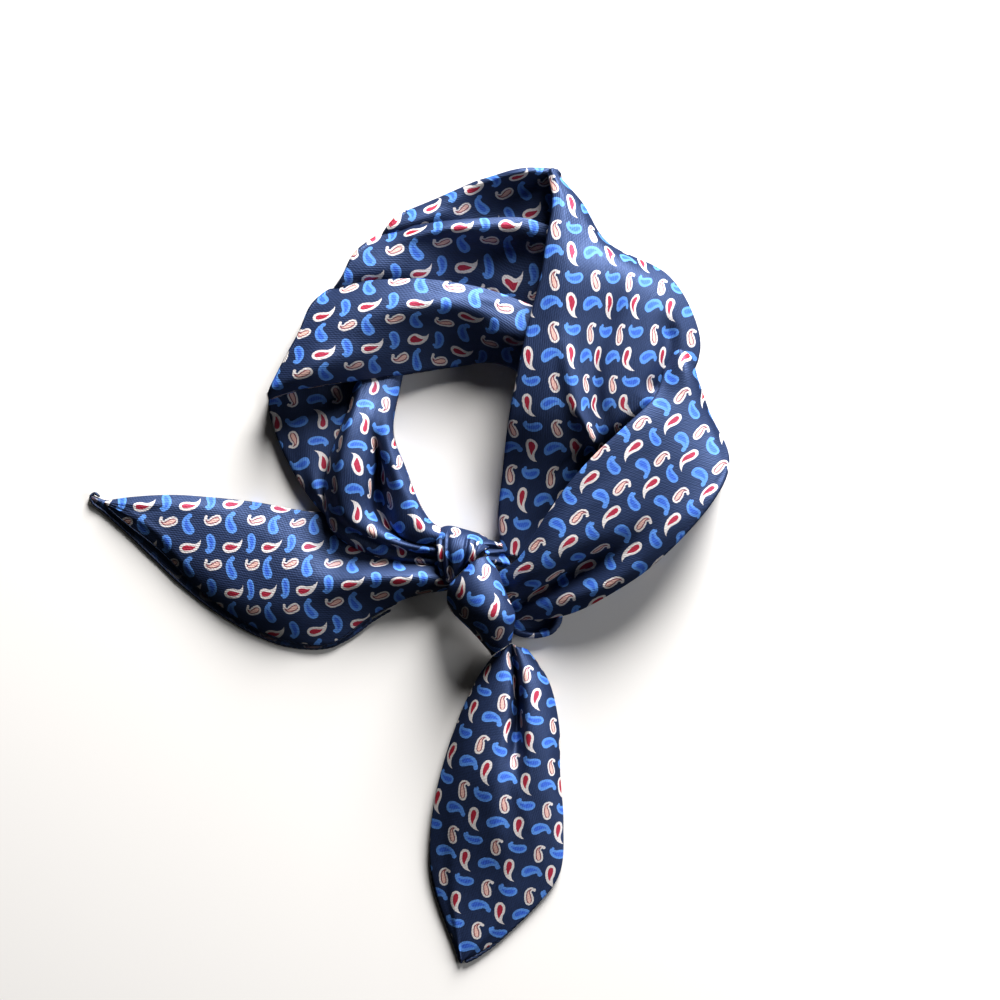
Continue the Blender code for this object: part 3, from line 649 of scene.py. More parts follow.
def silkCloth(name, reverse=0.0, shade=1.0):
    # Navy twill, printed with four droplets in a square repeat: red and small blue in one row,
    # large blue and pink in the next. A reverse side shows less of the print, and shade below 1 is a painted
    # shade that darkens the whole colour.
    material, tree, shader, (place, along, across) = clothMaterial(name)
    m = mathIn(tree)

    # the printed lines waver a little
    waver = tree.nodes.new("ShaderNodeSeparateColor")
    tree.links.new(noiseOn(tree, place, silkLook["waverScale"], 2.0).outputs["Color"], waver.inputs["Color"])
    u = m.plus(along, m.times(m.minus(waver.outputs[0], 0.5), silkLook["waver"]))
    v = m.plus(across, m.times(m.minus(waver.outputs[1], 0.5), silkLook["waver"]))

    def inCell(at, middle):
        # mm from the nearest of the droplets whose middles lie at this share of the repeat
        return m.times(m.minus(m.fraction(m.plus(at, 0.5 - middle)), 0.5), clothLook["repeat"])

    u0, u5, v0, v5 = inCell(u, 0.0), inCell(u, 0.5), inCell(v, 0.0), inCell(v, 0.5)
    backU5, backV0 = m.times(u5, -1.0), m.times(v0, -1.0)
    redEdge, redCore = dropletIn(m, u0, v0, droplets["red"])
    smallEdge, smallCore = dropletIn(m, backV0, backU5, droplets["small"])
    largeEdge, largeCore = dropletIn(m, v5, u0, droplets["large"])
    pinkEdge, pinkCore = dropletIn(m, backU5, v5, droplets["pink"])

    def inside(edge, deep):
        # from 0 to 1 over the line that lies this deep inside the edge
        return m.plus(m.times(m.minus(edge, deep), silkLook["sharpness"]), 0.5, clamp=True)

    weave, streak = twillIn(tree, m, along, across)
    byWeave, inAll, ofStreaks = silkLook["navyWeave"]
    lightThread = m.plus(m.times(m.plus(weave, m.times(streak, ofStreaks)), byWeave), inAll, clamp=True)
    colour = blended(tree, lightThread, silkLook["navy"], silkLook["navyThread"])
    byWeave, inAll = silkLook["blueWeave"]
    blueThread = m.plus(m.times(weave, byWeave), inAll, clamp=True)
    deepBlue = blended(tree, blueThread, silkLook["deepBlue"], silkLook["paleBlue"])
    rise, within, share = silkLook["blueCore"]
    for edge, core in ((smallEdge, smallCore), (largeEdge, largeCore)):
        colour = blended(tree, inside(edge, silkLook["outline"]), colour, silkLook["paleBlue"])
        deep = m.times(m.times(core, rise, clamp=True), inside(edge, within))
        colour = blended(tree, m.times(deep, share), colour, deepBlue)
    for edge in (redEdge, pinkEdge):
        colour = blended(tree, inside(edge, silkLook["outline"]), colour, silkLook["cream"])
    colour = blended(tree, inside(redCore, silkLook["coreLine"]), colour, silkLook["red"])
    colour = blended(tree, inside(pinkCore, silkLook["coreLine"]), colour, silkLook["brown"])
    within, share = silkLook["pinkCore"]
    colour = blended(tree, m.times(inside(pinkCore, within), share), colour, silkLook["pink"])
    anyEdge = m.most(m.most(redEdge, pinkEdge), m.most(smallEdge, largeEdge))
    printed = inside(anyEdge, silkLook["outline"])
    if reverse:
        colour = blended(tree, reverse, colour, silkLook["navy"])

    # threads shade the print as they do the ground, and the shade argument scales the whole colour: below 1
    # it is a painted shade
    tinted = tree.nodes.new("ShaderNodeVectorMath")
    tinted.operation = "SCALE"
    tree.links.new(colour, tinted.inputs[0])
    byWeave, byStreak = silkLook["threadShade"]
    threads = m.plus(m.times(weave, byWeave), m.plus(m.times(streak, byStreak), shade))
    tree.links.new(threads, tinted.inputs["Scale"])
    tree.links.new(tinted.outputs[0], shader.inputs["Base Color"])
    byStreak, byPrint = silkLook["threadGloss"]
    rough = m.plus(m.times(streak, byStreak), m.plus(m.times(printed, byPrint), silkLook["roughness"]))
    tree.links.new(rough, shader.inputs["Roughness"])
    bumpOn(tree, shader, weave, *silkLook["bump"])
    shader.inputs["IOR"].default_value = silkLook["ior"]
    shader.inputs["Specular IOR Level"].default_value = 1.0
    shader.inputs["Specular Tint"].default_value = (*silkLook["shine"], 1.0)
    return material


def hemCloth(name):
    # Rolled hem: plain navy with fine ribs and small slanted stitches.
    material, tree, shader, (_, along, across) = clothMaterial(name)
    m = mathIn(tree)
    turns = 2 * math.pi * clothLook["repeat"] / hemLook["stitchPitch"]
    stitch = m.sine(m.plus(m.times(along, turns), m.times(across, turns * 2.0)))
    thread = m.above(stitch, hemLook["threadFrom"])
    ribs = m.sine(m.times(along, 2 * math.pi * clothLook["repeat"] / hemLook["ribPitch"]))
    grain = m.plus(m.times(ribs, 0.15), 0.4, clamp=True)
    colour = blended(tree, grain, silkLook["navy"], silkLook["navyThread"])
    colour = blended(tree, m.times(thread, hemLook["threadShare"]), colour, silkLook["paleBlue"])
    tree.links.new(colour, shader.inputs["Base Color"])
    bumpOn(tree, shader, m.plus(m.times(thread, -0.6), m.times(ribs, 0.3)), *hemLook["bump"])
    shader.inputs["Roughness"].default_value = hemLook["roughness"]
    return material


silkPrint = silkCloth("silkPrint")
# the reverse side, its print faint under navy and its colour darkened by a painted shade
silkReverseWithPaintedShade = silkCloth("silkReverseWithPaintedShade", silkLook["reverse"], silkLook["reversePaintedShade"])
silkHem = hemCloth("silkHem")
print("silk ready")


def makeSheet(name, piece):
    # One stretch of cloth: its folds, creases and slack, then the print's flat map, then its edges.
    look = dict(clothLook, **piece.get("look", {}))
    grid = foldedGrid(piece["folds"], look["spacing"])
    grid = creased(grid, piece.get("creases", ()))
    if "slack" in piece:
        grid = softFolds(grid, **piece["slack"])
    flat = flattened(grid, piece.get("print", ()), piece.get("phase"), piece.get("stretch", (1.0, 1.0)))
    grid, flat = withEdges(grid, flat, piece["edges"], look)
    grid[..., 2] = np.maximum(grid[..., 2], look["lowest"])
    made = gridMesh(name, grid, flat)
    made.data.materials.append(piece.get("cloth", silkPrint))
    wall = made.modifiers.new("clothThickness", "SOLIDIFY")
    wall.thickness = look["thickness"] * mm
    wall.offset = -1.0
    wall.use_rim = True
    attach(made, "root")
    if "node" in piece:
        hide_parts(piece["node"])


# the rolled hems that show: under the side tail and along its upper layer, and at the front tail's tip
rolledHems = {
    "leftTailHem": {"node": "tail_left_hem", "radius": 0.6, "line": ((-146.5, 32.2, 2.2), (-149.3, 33.9, 2.2),
        (-150.9, 32.4, 2), (-150.2, 30, 1.7), (-144.6, 25.4, 1.3), (-138, 19.5, 1.1), (-131, 13, 1),
        (-120, 2.4, 0.9), (-110, -7.2, 0.9), (-100, -15.6, 0.9), (-90, -22.8, 0.9), (-80, -28.9, 0.9),
        (-69, -34.4, 0.9), (-58, -38, 0.9), (-48, -39.3, 0.9), (-38, -38.5, 1), (-28, -33.8, 1.2),
        (-18, -26.3, 1.6), (-9, -21, 2))},
    "leftTailUpperHem": {"radius": 0.5, "line": ((-143.2, 27.6, 2.6), (-136, 21.4, 2.9), (-119, 7.9, 3.2),
        (-99, -11.6, 3.2), (-79.5, -26.2, 3), (-57.6, -35.8, 2.6), (-38, -37, 2.6), (-18.5, -24.2, 3),
        (-6, -17.4, 3.6))},
    "frontTailHemLeft": {"node": "tail_front_hem_left", "radius": 0.9, "line": ((12.5, -133, 1.2),
        (10.2, -140, 1.3), (11, -149, 1.3), (13.6, -158.5, 1.3), (17, -168, 1.3), (20.3, -176.5, 1.3),
        (22.8, -184, 1.4), (24.2, -188, 1.6))},
    "frontTailHemRight": {"node": "tail_front_hem_right", "radius": 0.9, "line": ((69, -139, 1.2),
        (70, -144, 1.2), (67.5, -149, 1.2), (62, -156.5, 1.2), (55.5, -164, 1.2), (47.5, -171.5, 1.2),
        (39.5, -178.8, 1.2), (31.5, -184.3, 1.3), (25.6, -187.4, 1.5))},
}
hems = {name: hemTube(name, hem) for name, hem in rolledHems.items()}

# the side tail, from its tip to the knot
leftTail = {
    "node": "tail_left",
    "folds": {
        "front hem": ((-143.6, 28.4, 3), (-136, 22, 3.4), (-119, 8.5, 3.8), (-99, -11, 4.2),
            (-79.5, -25.6, 4.2), (-57.6, -35.2, 3.5), (-38, -36.4, 3.5), (-18.5, -23.5, 4), (0, -15, 5),
            (20, -11.5, 6)),
        "belly": ((-143.7, 29, 3.4), (-135.6, 24.6, 4.4), (-118, 13, 5.8), (-98, -3, 7.4), (-78.5, -16, 8.8),
            (-57.5, -22, 10), (-37.5, -22, 8.5), (-18.8, -15.5, 9), (0, -11.5, 10.5), (20.5, -9.5, 9)),
        "crown": ((-143.8, 29.4, 3.6), (-135.2, 27.2, 4.8), (-116, 21, 6.4), (-95.5, 13, 7.6),
            (-75.5, 3, 9.4), (-56, -5, 12), (-38, -8, 13.5), (-19, -6, 15), (-1, -5, 15), (21, -6, 11)),
        "back slope": ((-143.9, 29.8, 3.4), (-135.2, 29.6, 4.4), (-115, 28.5, 5.4), (-93.5, 25, 6.2),
            (-73.5, 19, 7), (-54, 13, 8), (-37, 6, 6.5), (-20, 4, 6), (0, 2, 7), (21, -1.5, 8)),
        "fold edge": ((-144, 30.2, 2.6), (-135.6, 31.4, 3), (-115, 32.8, 3.2), (-93, 31.5, 3.4),
            (-72, 29, 3.6), (-52, 25.2, 4), (-36, 23, 4.4), (-18, 14, 5), (3, 9, 6), (20, 4, 6)),
    },
    "edges": ("lap", "drop", "drop", None),
    "look": {"rollRadius": 0.5, "tuckBack": 2.0},
    "slack": {"seed": 3, "count": 12, "height": 0.5},
    "print": ((-126, 28.5, -1, 2), (-104, 29, 0, 2), (-60, 26, 2, 2), (-103, 9.5, 0, 1), (-83, 9.5, 1, 1),
        (-66, 10, 2, 1), (-47, 10, 3, 1), (-82, -12, 1, 0), (-67, -11.5, 2, 0), (-49.5, -11, 3, 0),
        (-28, -7.5, 4, 0), (-4, -6, 5, 0)),
}
makeSheet("leftTail", leftTail)

# the tail's lower layer, seen past the upper one's hem with its reverse side up, its cloth darkened by a
# painted shade
leftTailUnder = {
    "cloth": silkReverseWithPaintedShade,
    "folds": {
        "edge": ((-150, 30.2, 1.8), (-144, 25.8, 1.6), (-132, 14.6, 1.4), (-119, 2, 1.3), (-101, -14.6, 1.3),
            (-80, -28, 1.4), (-58, -37.5, 1.6), (-38, -38, 1.8), (-18, -26, 2)),
        "beneath": ((-150.2, 31.8, 2.6), (-142.6, 28, 2.6), (-128.5, 20, 2.4), (-114, 9, 2.2), (-95, -8, 2.2),
            (-76, -21, 2.2), (-56, -30, 2.2), (-37, -31, 2.2), (-20, -19, 2.4)),
        "inside": ((-150.5, 33.2, 1.8), (-142.4, 29.8, 2), (-126, 25, 2.3), (-109, 16, 2.2), (-90, 0, 2.2),
            (-72, -12, 2.2), (-54, -21, 2.2), (-37, -22, 2.2), (-22, -12, 2.4)),
    },
    "edges": ("lap", "lap", "lap", None),
    "look": {"rollRadius": 0.4, "tuckBack": 2.0},
    "slack": {"seed": 4, "count": 10, "height": 0.25},
    "phase": (0.35, 0.2),
}
makeSheet("leftTailUnder", leftTailUnder)

# the band up the left of the neck loop
loopLeftOuter = {
    "node": "loop_left_outer",
    "folds": {
        "under the inner fold": ((-31, 17, 5), (-33, 30, 5), (-31.5, 45, 5), (-27, 60, 4), (-22, 75, 3.5),
            (-17, 95, 3.5)),
        "trough": ((-34, 19, 5.5), (-38.5, 31, 6), (-39, 46, 6), (-37.5, 61, 5), (-34.5, 76, 4),
            (-31, 95, 4)),
        "crown": ((-36, 20, 7), (-42.5, 32, 8.5), (-47, 47, 7.2), (-49, 62, 6), (-49, 77, 4.5), (-46, 95, 4)),
        "shoulder": ((-37.5, 21, 5.5), (-45.5, 32.5, 6.5), (-52, 46, 6.2), (-57.5, 62, 5.2), (-60, 76, 4.4),
            (-56, 93, 4)),
        "outside": ((-38.5, 22, 4.5), (-47.5, 33.5, 5.2), (-56, 48, 5.2), (-63, 63.5, 4.4), (-66, 76, 3.8),
            (-60, 89, 3.5)),
    },
    "edges": (None, "drop", "lap", None),
    "slack": {"seed": 5, "count": 10, "height": 0.6},
    "print": ((-42.5, 68, 1, 0), (-41, 49.5, 0, 0), (-54.5, 77.5, 1.5, 0.5), (-53.5, 58.5, 0.5, 0.5)),
}
makeSheet("loopLeftOuter", loopLeftOuter)

loopLeftInner = {
    "node": "loop_left_inner",
    "folds": {
        "hole edge": ((15.5, 17, 9), (8, 22.5, 11), (2, 33.5, 13), (-2.7, 46, 13), (-7.3, 57.5, 13.5),
            (-8.3, 68, 12), (-6, 80, 8), (-3.6, 94, 5)),
        "first pleat": ((15.5, 14, 12), (5.5, 18.5, 16), (-1.5, 31, 16.5), (-6, 43, 16.5), (-10, 56.5, 16),
            (-11, 68, 15), (-9.5, 80, 11.5), (-8, 94, 6)),
        "second pleat": ((15.5, 11, 11), (-2, 13.5, 13), (-7.2, 27, 14), (-9.8, 40, 14), (-13, 54, 14.5),
            (-14.5, 67.5, 16), (-14, 80, 12.5), (-12, 94, 6)),
        "recess": ((15.5, 9.2, 8), (-7.5, 16, 6), (-14.8, 27.5, 2), (-15.4, 40, 2), (-15, 51.5, 8),
            (-18, 66.5, 18), (-18, 79.5, 13.5), (-16, 94, 6.5)),
        "crown": ((15.5, 7.4, 11), (-10, 13.8, 15), (-20.8, 26, 16), (-21.3, 38, 19), (-21, 51, 20.5),
            (-22.5, 65.5, 20), (-21.5, 79, 14.5), (-19, 94, 6.5)),
        "shoulder": ((15.5, 5.6, 11), (-12.6, 11.6, 15), (-29, 22.5, 18.5), (-32, 36, 22), (-31, 49.5, 23),
            (-28.5, 64, 21), (-25, 78, 14.5), (-22, 94, 6)),
        "strip crease": ((15.5, 3.8, 8), (-14.5, 9.4, 9.5), (-33.4, 20.6, 13), (-36.3, 34.6, 16.5),
            (-35, 48.2, 17.5), (-31.5, 62.5, 16), (-27.2, 76, 11), (-24, 94, 5)),
        "strip": ((15.5, 1.8, 9.5), (-16.3, 7.4, 10.5), (-35.6, 18.8, 12), (-38.6, 33.6, 13.5),
            (-37, 48, 14.5), (-32.8, 62, 13.5), (-28, 75.5, 9.5), (-24.5, 94, 4.5)),
        "strip edge": ((15.5, -0.6, 6), (-18, 4.8, 6), (-37.4, 17, 7), (-40.2, 32.8, 9), (-38.6, 47.6, 10),
            (-33.8, 61.8, 9.5), (-28.8, 75.2, 7), (-25, 94, 3.5)),
    },
    "edges": ("drop", "lap", None, None),
    "slack": {"seed": 8, "count": 10, "height": 0.4},
    "print": ((-17, 84, 3, 0), (-21, 66.5, 2, 0), (-25.5, 48, 1, 0), (-25, 25.5, 0, 0), (-10, 75, 2.5, -0.5),
        (-15, 56, 1.5, -0.5), (-32, 56, 1.5, 0.5)),
}
makeSheet("loopLeftInner", loopLeftInner)

# the band over the top of the neck loop, three folds that step up towards the hole
loopTopOuter = {
    "node": "loop_top_outer",
    "folds": {
        "beneath": ((-19, 143, 9.5), (-6.5, 145.5, 10.5), (8, 148, 11), (27, 149, 7), (46, 148.5, 4.2),
            (71, 143, 2.6)),
        "under the middle fold": ((-15, 150, 5), (-2, 152, 7), (12, 155, 7.5), (30, 156, 5), (48, 155, 3.5),
            (71, 150, 3)),
        "rise": ((-9.6, 158.5, 9.5), (1, 161.5, 10.5), (15, 164.5, 10), (32, 167.5, 5), (49, 168, 3.5),
            (71, 165, 3.5)),
        "crown": ((-5.4, 163, 9), (6, 166.5, 9.5), (18, 170, 10), (34, 174.5, 8), (50, 177.5, 7),
            (71, 176, 6)),
        "outside": ((-1.5, 166, 7), (9, 170.3, 7), (22, 175.2, 9), (37, 179.8, 12), (52, 183.7, 15),
            (69.5, 183.8, 9.5)),
    },
    "edges": (None, "drop", "drop", None),
    "slack": {"seed": 11, "count": 8, "height": 0.4},
    "print": ((10, 168.5, 0, 1), (30, 177, 1, 1), (24.5, 166.5, 0.5, 0.5), (44.5, 174, 1.5, 0.5)),
}
makeSheet("loopTopOuter", loopTopOuter)

loopTopMiddle = {
    "node": "loop_top_middle",
    "folds": {
        "beneath": ((-41, 115, 12.5), (-25, 116, 16), (-6, 118, 20), (14, 118, 20.5), (34, 112, 19),
            (51, 104, 15), (70, 97, 11)),
        "under the inner fold": ((-37, 125, 10), (-20, 126, 9), (-2, 127, 10), (18, 125, 5), (38, 119, 3),
            (54, 112, 3), (71, 106, 3)),
        "rise": ((-30.5, 135, 14), (-16, 137.5, 16), (0, 139, 14), (18, 138, 5.5), (38, 135, 3.5),
            (54, 131, 3.5), (71, 128, 3.5)),
        "crown": ((-25.5, 145, 12.5), (-12, 147.5, 14), (2, 149.5, 15.5), (18, 150.5, 11), (37, 149, 7),
            (54, 147, 6), (71, 144, 4.5)),
        "shoulder": ((-19, 151, 10), (-6, 153.5, 11.5), (5, 156, 16), (19, 158, 18.5), (36, 158.5, 17),
            (53, 158, 14.5), (71, 152, 8)),
        "lap edge": ((-12.5, 155.4, 8), (-3, 158.3, 9), (7, 160, 12.5), (20, 161.5, 15.5), (36, 162.6, 14.5),
            (53, 162.5, 13.5), (71, 156, 9)),
    },
    "edges": (None, "lap", "drop", None),
    "slack": {"seed": 12, "count": 10, "height": 0.4},
    "stretch": (1.07, 0.98),
    "print": ((5, 137.5, 0, 0), (26, 142, 1, 0), (49, 130.5, 2, 0), (15, 150.5, 0.5, 0.5),
        (37, 152.5, 1.5, 0.5), (1, 157, 0, 1), (24, 159.5, 1, 1), (46, 161, 2, 1)),
}
makeSheet("loopTopMiddle", loopTopMiddle)

loopTopInner = {
    "node": "loop_top_inner",
    "folds": {
        "hole edge": ((-66, 78.5, 14), (-50, 83.5, 19), (-28, 87, 15), (-3, 91, 9.5), (20, 94.5, 7),
            (41, 95.8, 8), (58, 88, 9)),
        "roll": ((-64, 83.5, 18), (-47, 91, 24), (-25, 95, 21), (0, 99, 13), (20, 102, 10.5), (42, 103, 14.5),
            (60, 97, 12)),
        "crown": ((-57, 97, 18.5), (-41, 103, 22.5), (-20, 107, 23.2), (3, 110, 19.4), (22, 111, 16.2),
            (44, 109, 20.5), (62, 104, 16)),
        "upper crown": ((-50.3, 109.5, 17), (-36, 115, 20.5), (-15, 119, 24.5), (5, 121, 26), (25, 120, 25),
            (45, 115, 21.5), (64, 110, 17)),
        "shoulder": ((-44.5, 122.5, 14), (-31, 125, 17), (-11, 128, 21), (7, 128.5, 23), (27, 126, 23),
            (46, 120, 20), (66, 114, 15.5)),
        "lap edge": ((-35, 130.2, 11), (-24, 132.3, 14), (-9, 133.6, 17.5), (8, 133.4, 20.5), (28, 130.6, 21),
            (46, 125.6, 18), (67, 117.5, 13)),
    },
    "edges": ("drop", "lap", "drop", None),
    "slack": {"seed": 14, "count": 14, "height": 0.5},
    "stretch": (1.13, 0.98),
    "print": ((-40, 117, 0, 1), (-19, 122, 1, 1), (4, 122.5, 2, 1), (28, 116, 3, 1), (47.5, 105, 4, 1),
        (-40.5, 100, 0, 0), (-17.5, 102.5, 1, 0), (3, 107.5, 2, 0), (-26, 92, 0.5, -0.5), (-4, 96, 1.5, -0.5),
        (43, 119, 3.5, 1.5)),
}
makeSheet("loopTopInner", loopTopInner)

# the band down the right of the neck loop
loopRight = {
    "node": "loop_right",
    "folds": {
        "hole edge": ((64.6, 184.4, 11.5), (68, 172, 18), (65, 152, 23.5), (62.2, 134, 25.5), (57, 114, 26),
            (52.3, 93, 26.5), (48.3, 72, 23.5), (45, 45, 12), (43, 20, 9), (44.6, 5, 8)),
        "first crown": ((66.2, 185.3, 13), (71, 172, 18.5), (71, 152, 25), (72, 134, 28), (68, 114, 28.5),
            (64, 93, 28.8), (60, 72, 26), (53, 45, 14.5), (48, 20, 10), (47, 4.6, 9)),
        "middle": ((67.8, 184.9, 12.5), (74.5, 172, 16.5), (79, 152, 22), (87, 134, 26), (86, 114, 26.5),
            (82, 93, 27), (79, 73, 26), (64, 46, 15), (54, 20, 10), (50, 4.2, 8.5)),
        "second crown": ((69.6, 183.7, 11), (78, 172, 13), (88, 152, 18), (106, 134, 23), (111, 114, 25),
            (107, 93, 26), (98, 72, 25), (76, 47, 16), (61, 20, 9), (53, 3.8, 8)),
        "outside": ((71, 182, 7), (80.5, 171, 8.5), (93, 151.5, 10), (120.5, 136, 13), (133.3, 114.5, 13),
            (134.2, 96, 13), (118, 74, 16), (90, 46, 9), (68, 20, 8), (56, 3.5, 7)),
    },
    "edges": ("drop", "drop", "drop", None),
    "slack": {"seed": 21, "count": 18, "height": 0.5},
    "creases": (
        {"line": ((71, 116), (73, 99), (75, 85), (78.5, 72), (84.5, 60), (88.5, 53)),
            "width": 3.4, "height": 2.6, "fade": (0.45, 0.1)},
        {"line": ((77, 76), (82, 65), (87, 55)), "width": 1.5, "height": 1.8, "fade": (0.4, 0.1)},
        {"line": ((100, 128), (93, 113), (87, 98), (87, 84), (90, 70), (94, 60)),
            "width": 3.2, "height": -1.6, "fade": (0.3, 0.2)},
        {"line": ((118, 120), (121, 106), (118, 90), (110, 77)),
            "width": 4.2, "height": -5.0, "fade": (0.3, 0.2)},
    ),
    "stretch": (1.16, 0.93),
    "print": ((77, 168, 0, 0), (77.3, 145.5, 1, 0), (76.7, 121, 2, 0), (76, 97, 3, 0), (76, 75, 4, 0),
        (79.8, 56, 5, 0), (56, 97, 3, -1), (55.8, 75, 4, -1), (59.5, 55, 5, -1), (95, 145, 1, 1),
        (94, 121, 2, 1), (88.7, 96.5, 3, 1), (86, 75, 4, 1), (110, 141, 1, 2), (104.3, 121, 2, 2),
        (100.3, 97, 3, 2), (99.8, 75, 4, 2), (122.2, 121, 2, 3), (119, 97, 3, 3)),
}
makeSheet("loopRight", loopRight)

# the band from the right down to the knot, lapped over the last
loopFront = {
    "node": "loop_front",
    "folds": {
        "lap edge": ((121.5, 112, 6), (121.8, 106, 12), (120, 96, 15.5), (116, 80.5, 22), (103, 66.5, 26.5),
            (88, 52.5, 28), (74, 37, 27), (62, 20, 24), (52.5, 5, 20), (38.5, -5, 11)),
        "crown": ((123.5, 111.7, 6), (125, 105.5, 13.5), (126.5, 96, 20.5), (125, 78, 23.5), (114, 60, 27),
            (99, 44, 28), (84, 27, 28), (71, 11, 27), (58, -3, 23), (40, -11, 12)),
        "crease top": ((125.5, 111.4, 5.5), (127.5, 105, 12), (130.5, 96, 19), (132, 76, 21.5), (127, 50, 26),
            (112, 32, 27.5), (95, 15, 26.5), (79, 4.5, 22.5), (65, -6, 17), (42, -18.5, 10)),
        "crease foot": ((127, 111.1, 5), (129.3, 104.7, 9.5), (132.5, 96, 15.5), (136, 75, 18.5),
            (135, 46, 24.5), (118, 26, 27), (99, 9, 22), (81, 0.5, 13), (67, -8.5, 10), (43, -21, 7)),
        "under fold": ((128.3, 110.8, 4.5), (130.5, 104.4, 7), (133, 94.3, 10), (139, 74, 14.5),
            (143, 45, 23), (126, 23, 27.5), (106, 3, 25), (88, -9, 20.5), (70, -15, 15), (43, -23, 7)),
        "outside": ((129, 110.5, 4), (131.4, 104, 5.5), (133.6, 94, 7), (140, 74, 9.5), (148.6, 50, 18.5),
            (140, 31, 26), (115, 3.5, 24), (95.5, -11, 19), (75, -21.5, 13), (43, -25, 5)),
    },
    "edges": ("lap", "drop", None, None),
    "slack": {"seed": 25, "count": 16, "height": 0.55},
    "stretch": (1.18, 0.96),
    "print": ((105.5, 54, 1, 0), (84, 40, 2, 0), (123, 66, 0, 0), (128.5, 50, 0, 1), (113, 37, 1, 1),
        (94.5, 24, 2, 1), (74.5, 10, 3, 1), (138.5, 34, 0, 2), (122.5, 20, 1, 2), (104, 7, 2, 2),
        (83, -2, 3, 2)),
    "creases": (
        {"line": ((49, -18), (58, -12), (67, -6), (75, -1), (84, 4)),
            "width": 0.9, "height": 0.9, "fade": (0.1, 0.4)},
        {"line": ((50, -20), (59, -14), (68.3, -8), (76.3, -3), (86, 2)),
            "width": 1.5, "height": -2.2, "fade": (0.1, 0.4)},
    ),
}
makeSheet("loopFront", loopFront)

# the knot
hemLoop = {
    "node": "hem_loop",
    "folds": {
        "lower lip": ((47, -30.6, 3.6), (52, -33.3, 4.6), (60, -34, 4.8), (67.5, -31.6, 4.8), (71, -26.8, 4),
            (71, -21, 3)),
        "rim": ((48, -29.5, 4), (53, -31.8, 5.2), (59.8, -32.3, 5.4), (66, -30.4, 5.4), (69, -26.4, 4.6),
            (69, -21, 3)),
        "mouth": ((49, -28, 2), (54, -29.8, 1.4), (59.4, -30.2, 1.2), (64.4, -28.8, 1.4), (66.8, -25.6, 2),
            (66.8, -21, 2)),
        "inside": ((50, -24, 1.5), (54.5, -23, 1.2), (59, -22.5, 1.2), (62, -22.6, 1.2), (63.6, -22, 1.5),
            (64, -21, 1.5)),
    },
    "edges": ("lap", None, None, None),
    "look": {"spacing": 0.5, "rollRadius": 0.6, "tuckBack": 1.6},
    "phase": (0.42, 0.3),
}
makeSheet("hemLoop", hemLoop)

knotBack = {
    "node": "knot_back",
    "folds": {
        "right edge": ((27, -0.3, 17), (30.5, 4, 19), (33.5, 6.8, 18.5), (36.2, 8.8, 15), (37.5, 11.6, 10)),
        "fourth ridge": ((24, -3, 16), (28, 2.5, 20), (31, 7, 20.5), (33.4, 11, 16), (34.5, 14, 10)),
        "third ridge": ((21, -5.5, 16), (25, 0.5, 20), (27, 7, 22), (29, 12.5, 18), (30, 15.7, 10)),
        "second ridge": ((19, -7.5, 15), (21, 0, 20), (22.5, 7.5, 22), (24, 13.4, 18.5), (24.6, 17.2, 10)),
        "first ridge": ((17.8, -8.6, 14.5), (17.5, -1, 19), (17.3, 7, 20.5), (17.6, 13.4, 17),
            (18.8, 18.4, 10)),
        "left edge": ((16.3, -9, 12), (14.6, -2, 15), (13.2, 6, 16), (12.6, 12, 13), (13.6, 17.2, 9)),
    },
    "edges": ("lap", "lap", None, "drop"),
    "look": {"spacing": 0.5, "rollRadius": 0.8, "tuckBack": 4.0},
    "creases": (
        {"line": ((17, -8), (15.6, 0), (15.2, 8), (15.8, 16)),
            "width": 1.0, "height": -2.4, "fade": (0.15, 0.2)},
        {"line": ((18.2, -7), (18.6, 0), (17.9, 8), (18.4, 17)),
            "width": 0.9, "height": -2.0, "fade": (0.15, 0.2)},
        {"line": ((21.5, -5), (25.5, 2), (26.6, 9), (27.6, 16)),
            "width": 0.8, "height": -2.6, "fade": (0.2, 0.2)},
        {"line": ((24, -3), (28.8, 4), (31.2, 9), (32.5, 14)),
            "width": 0.7, "height": -2.6, "fade": (0.2, 0.2)},
    ),
    "print": ((23, 15.5, 0.5, 0.5), (21, 5, 0, 0.5)),
}
makeSheet("knotBack", knotBack)

knotFold = {
    "node": "knot_fold",
    "folds": {
        "lower edge": ((38.5, 0.8, 12), (42.5, -0.4, 9.5), (47, -1.2, 7)),
        "third ridge": ((37.5, 3, 15.4), (42, 2.2, 12), (47, 1.2, 9.5)),
        "second valley": ((36.8, 4.5, 14.8), (41, 4.3, 11), (45.8, 4.2, 8)),
        "second ridge": ((35.8, 5.9, 16), (40.4, 6.3, 12.6), (45, 6.6, 9.5)),
        "first valley": ((34.5, 7.8, 14), (39, 8, 10.8), (43.9, 8, 8)),
        "first ridge": ((33.2, 10.4, 16), (38, 10.2, 14), (43.4, 9.1, 10.5)),
        "upper edge": ((32.4, 13, 10), (38, 11.9, 9), (43.6, 10.4, 7)),
    },
    "edges": ("lap", "lap", None, None),
    "look": {"spacing": 0.5, "rollRadius": 0.7, "tuckBack": 2.5},
    "slack": {"seed": 52, "count": 8, "height": 0.6},
    "phase": (0.3, 0.42),
}
makeSheet("knotFold", knotFold)

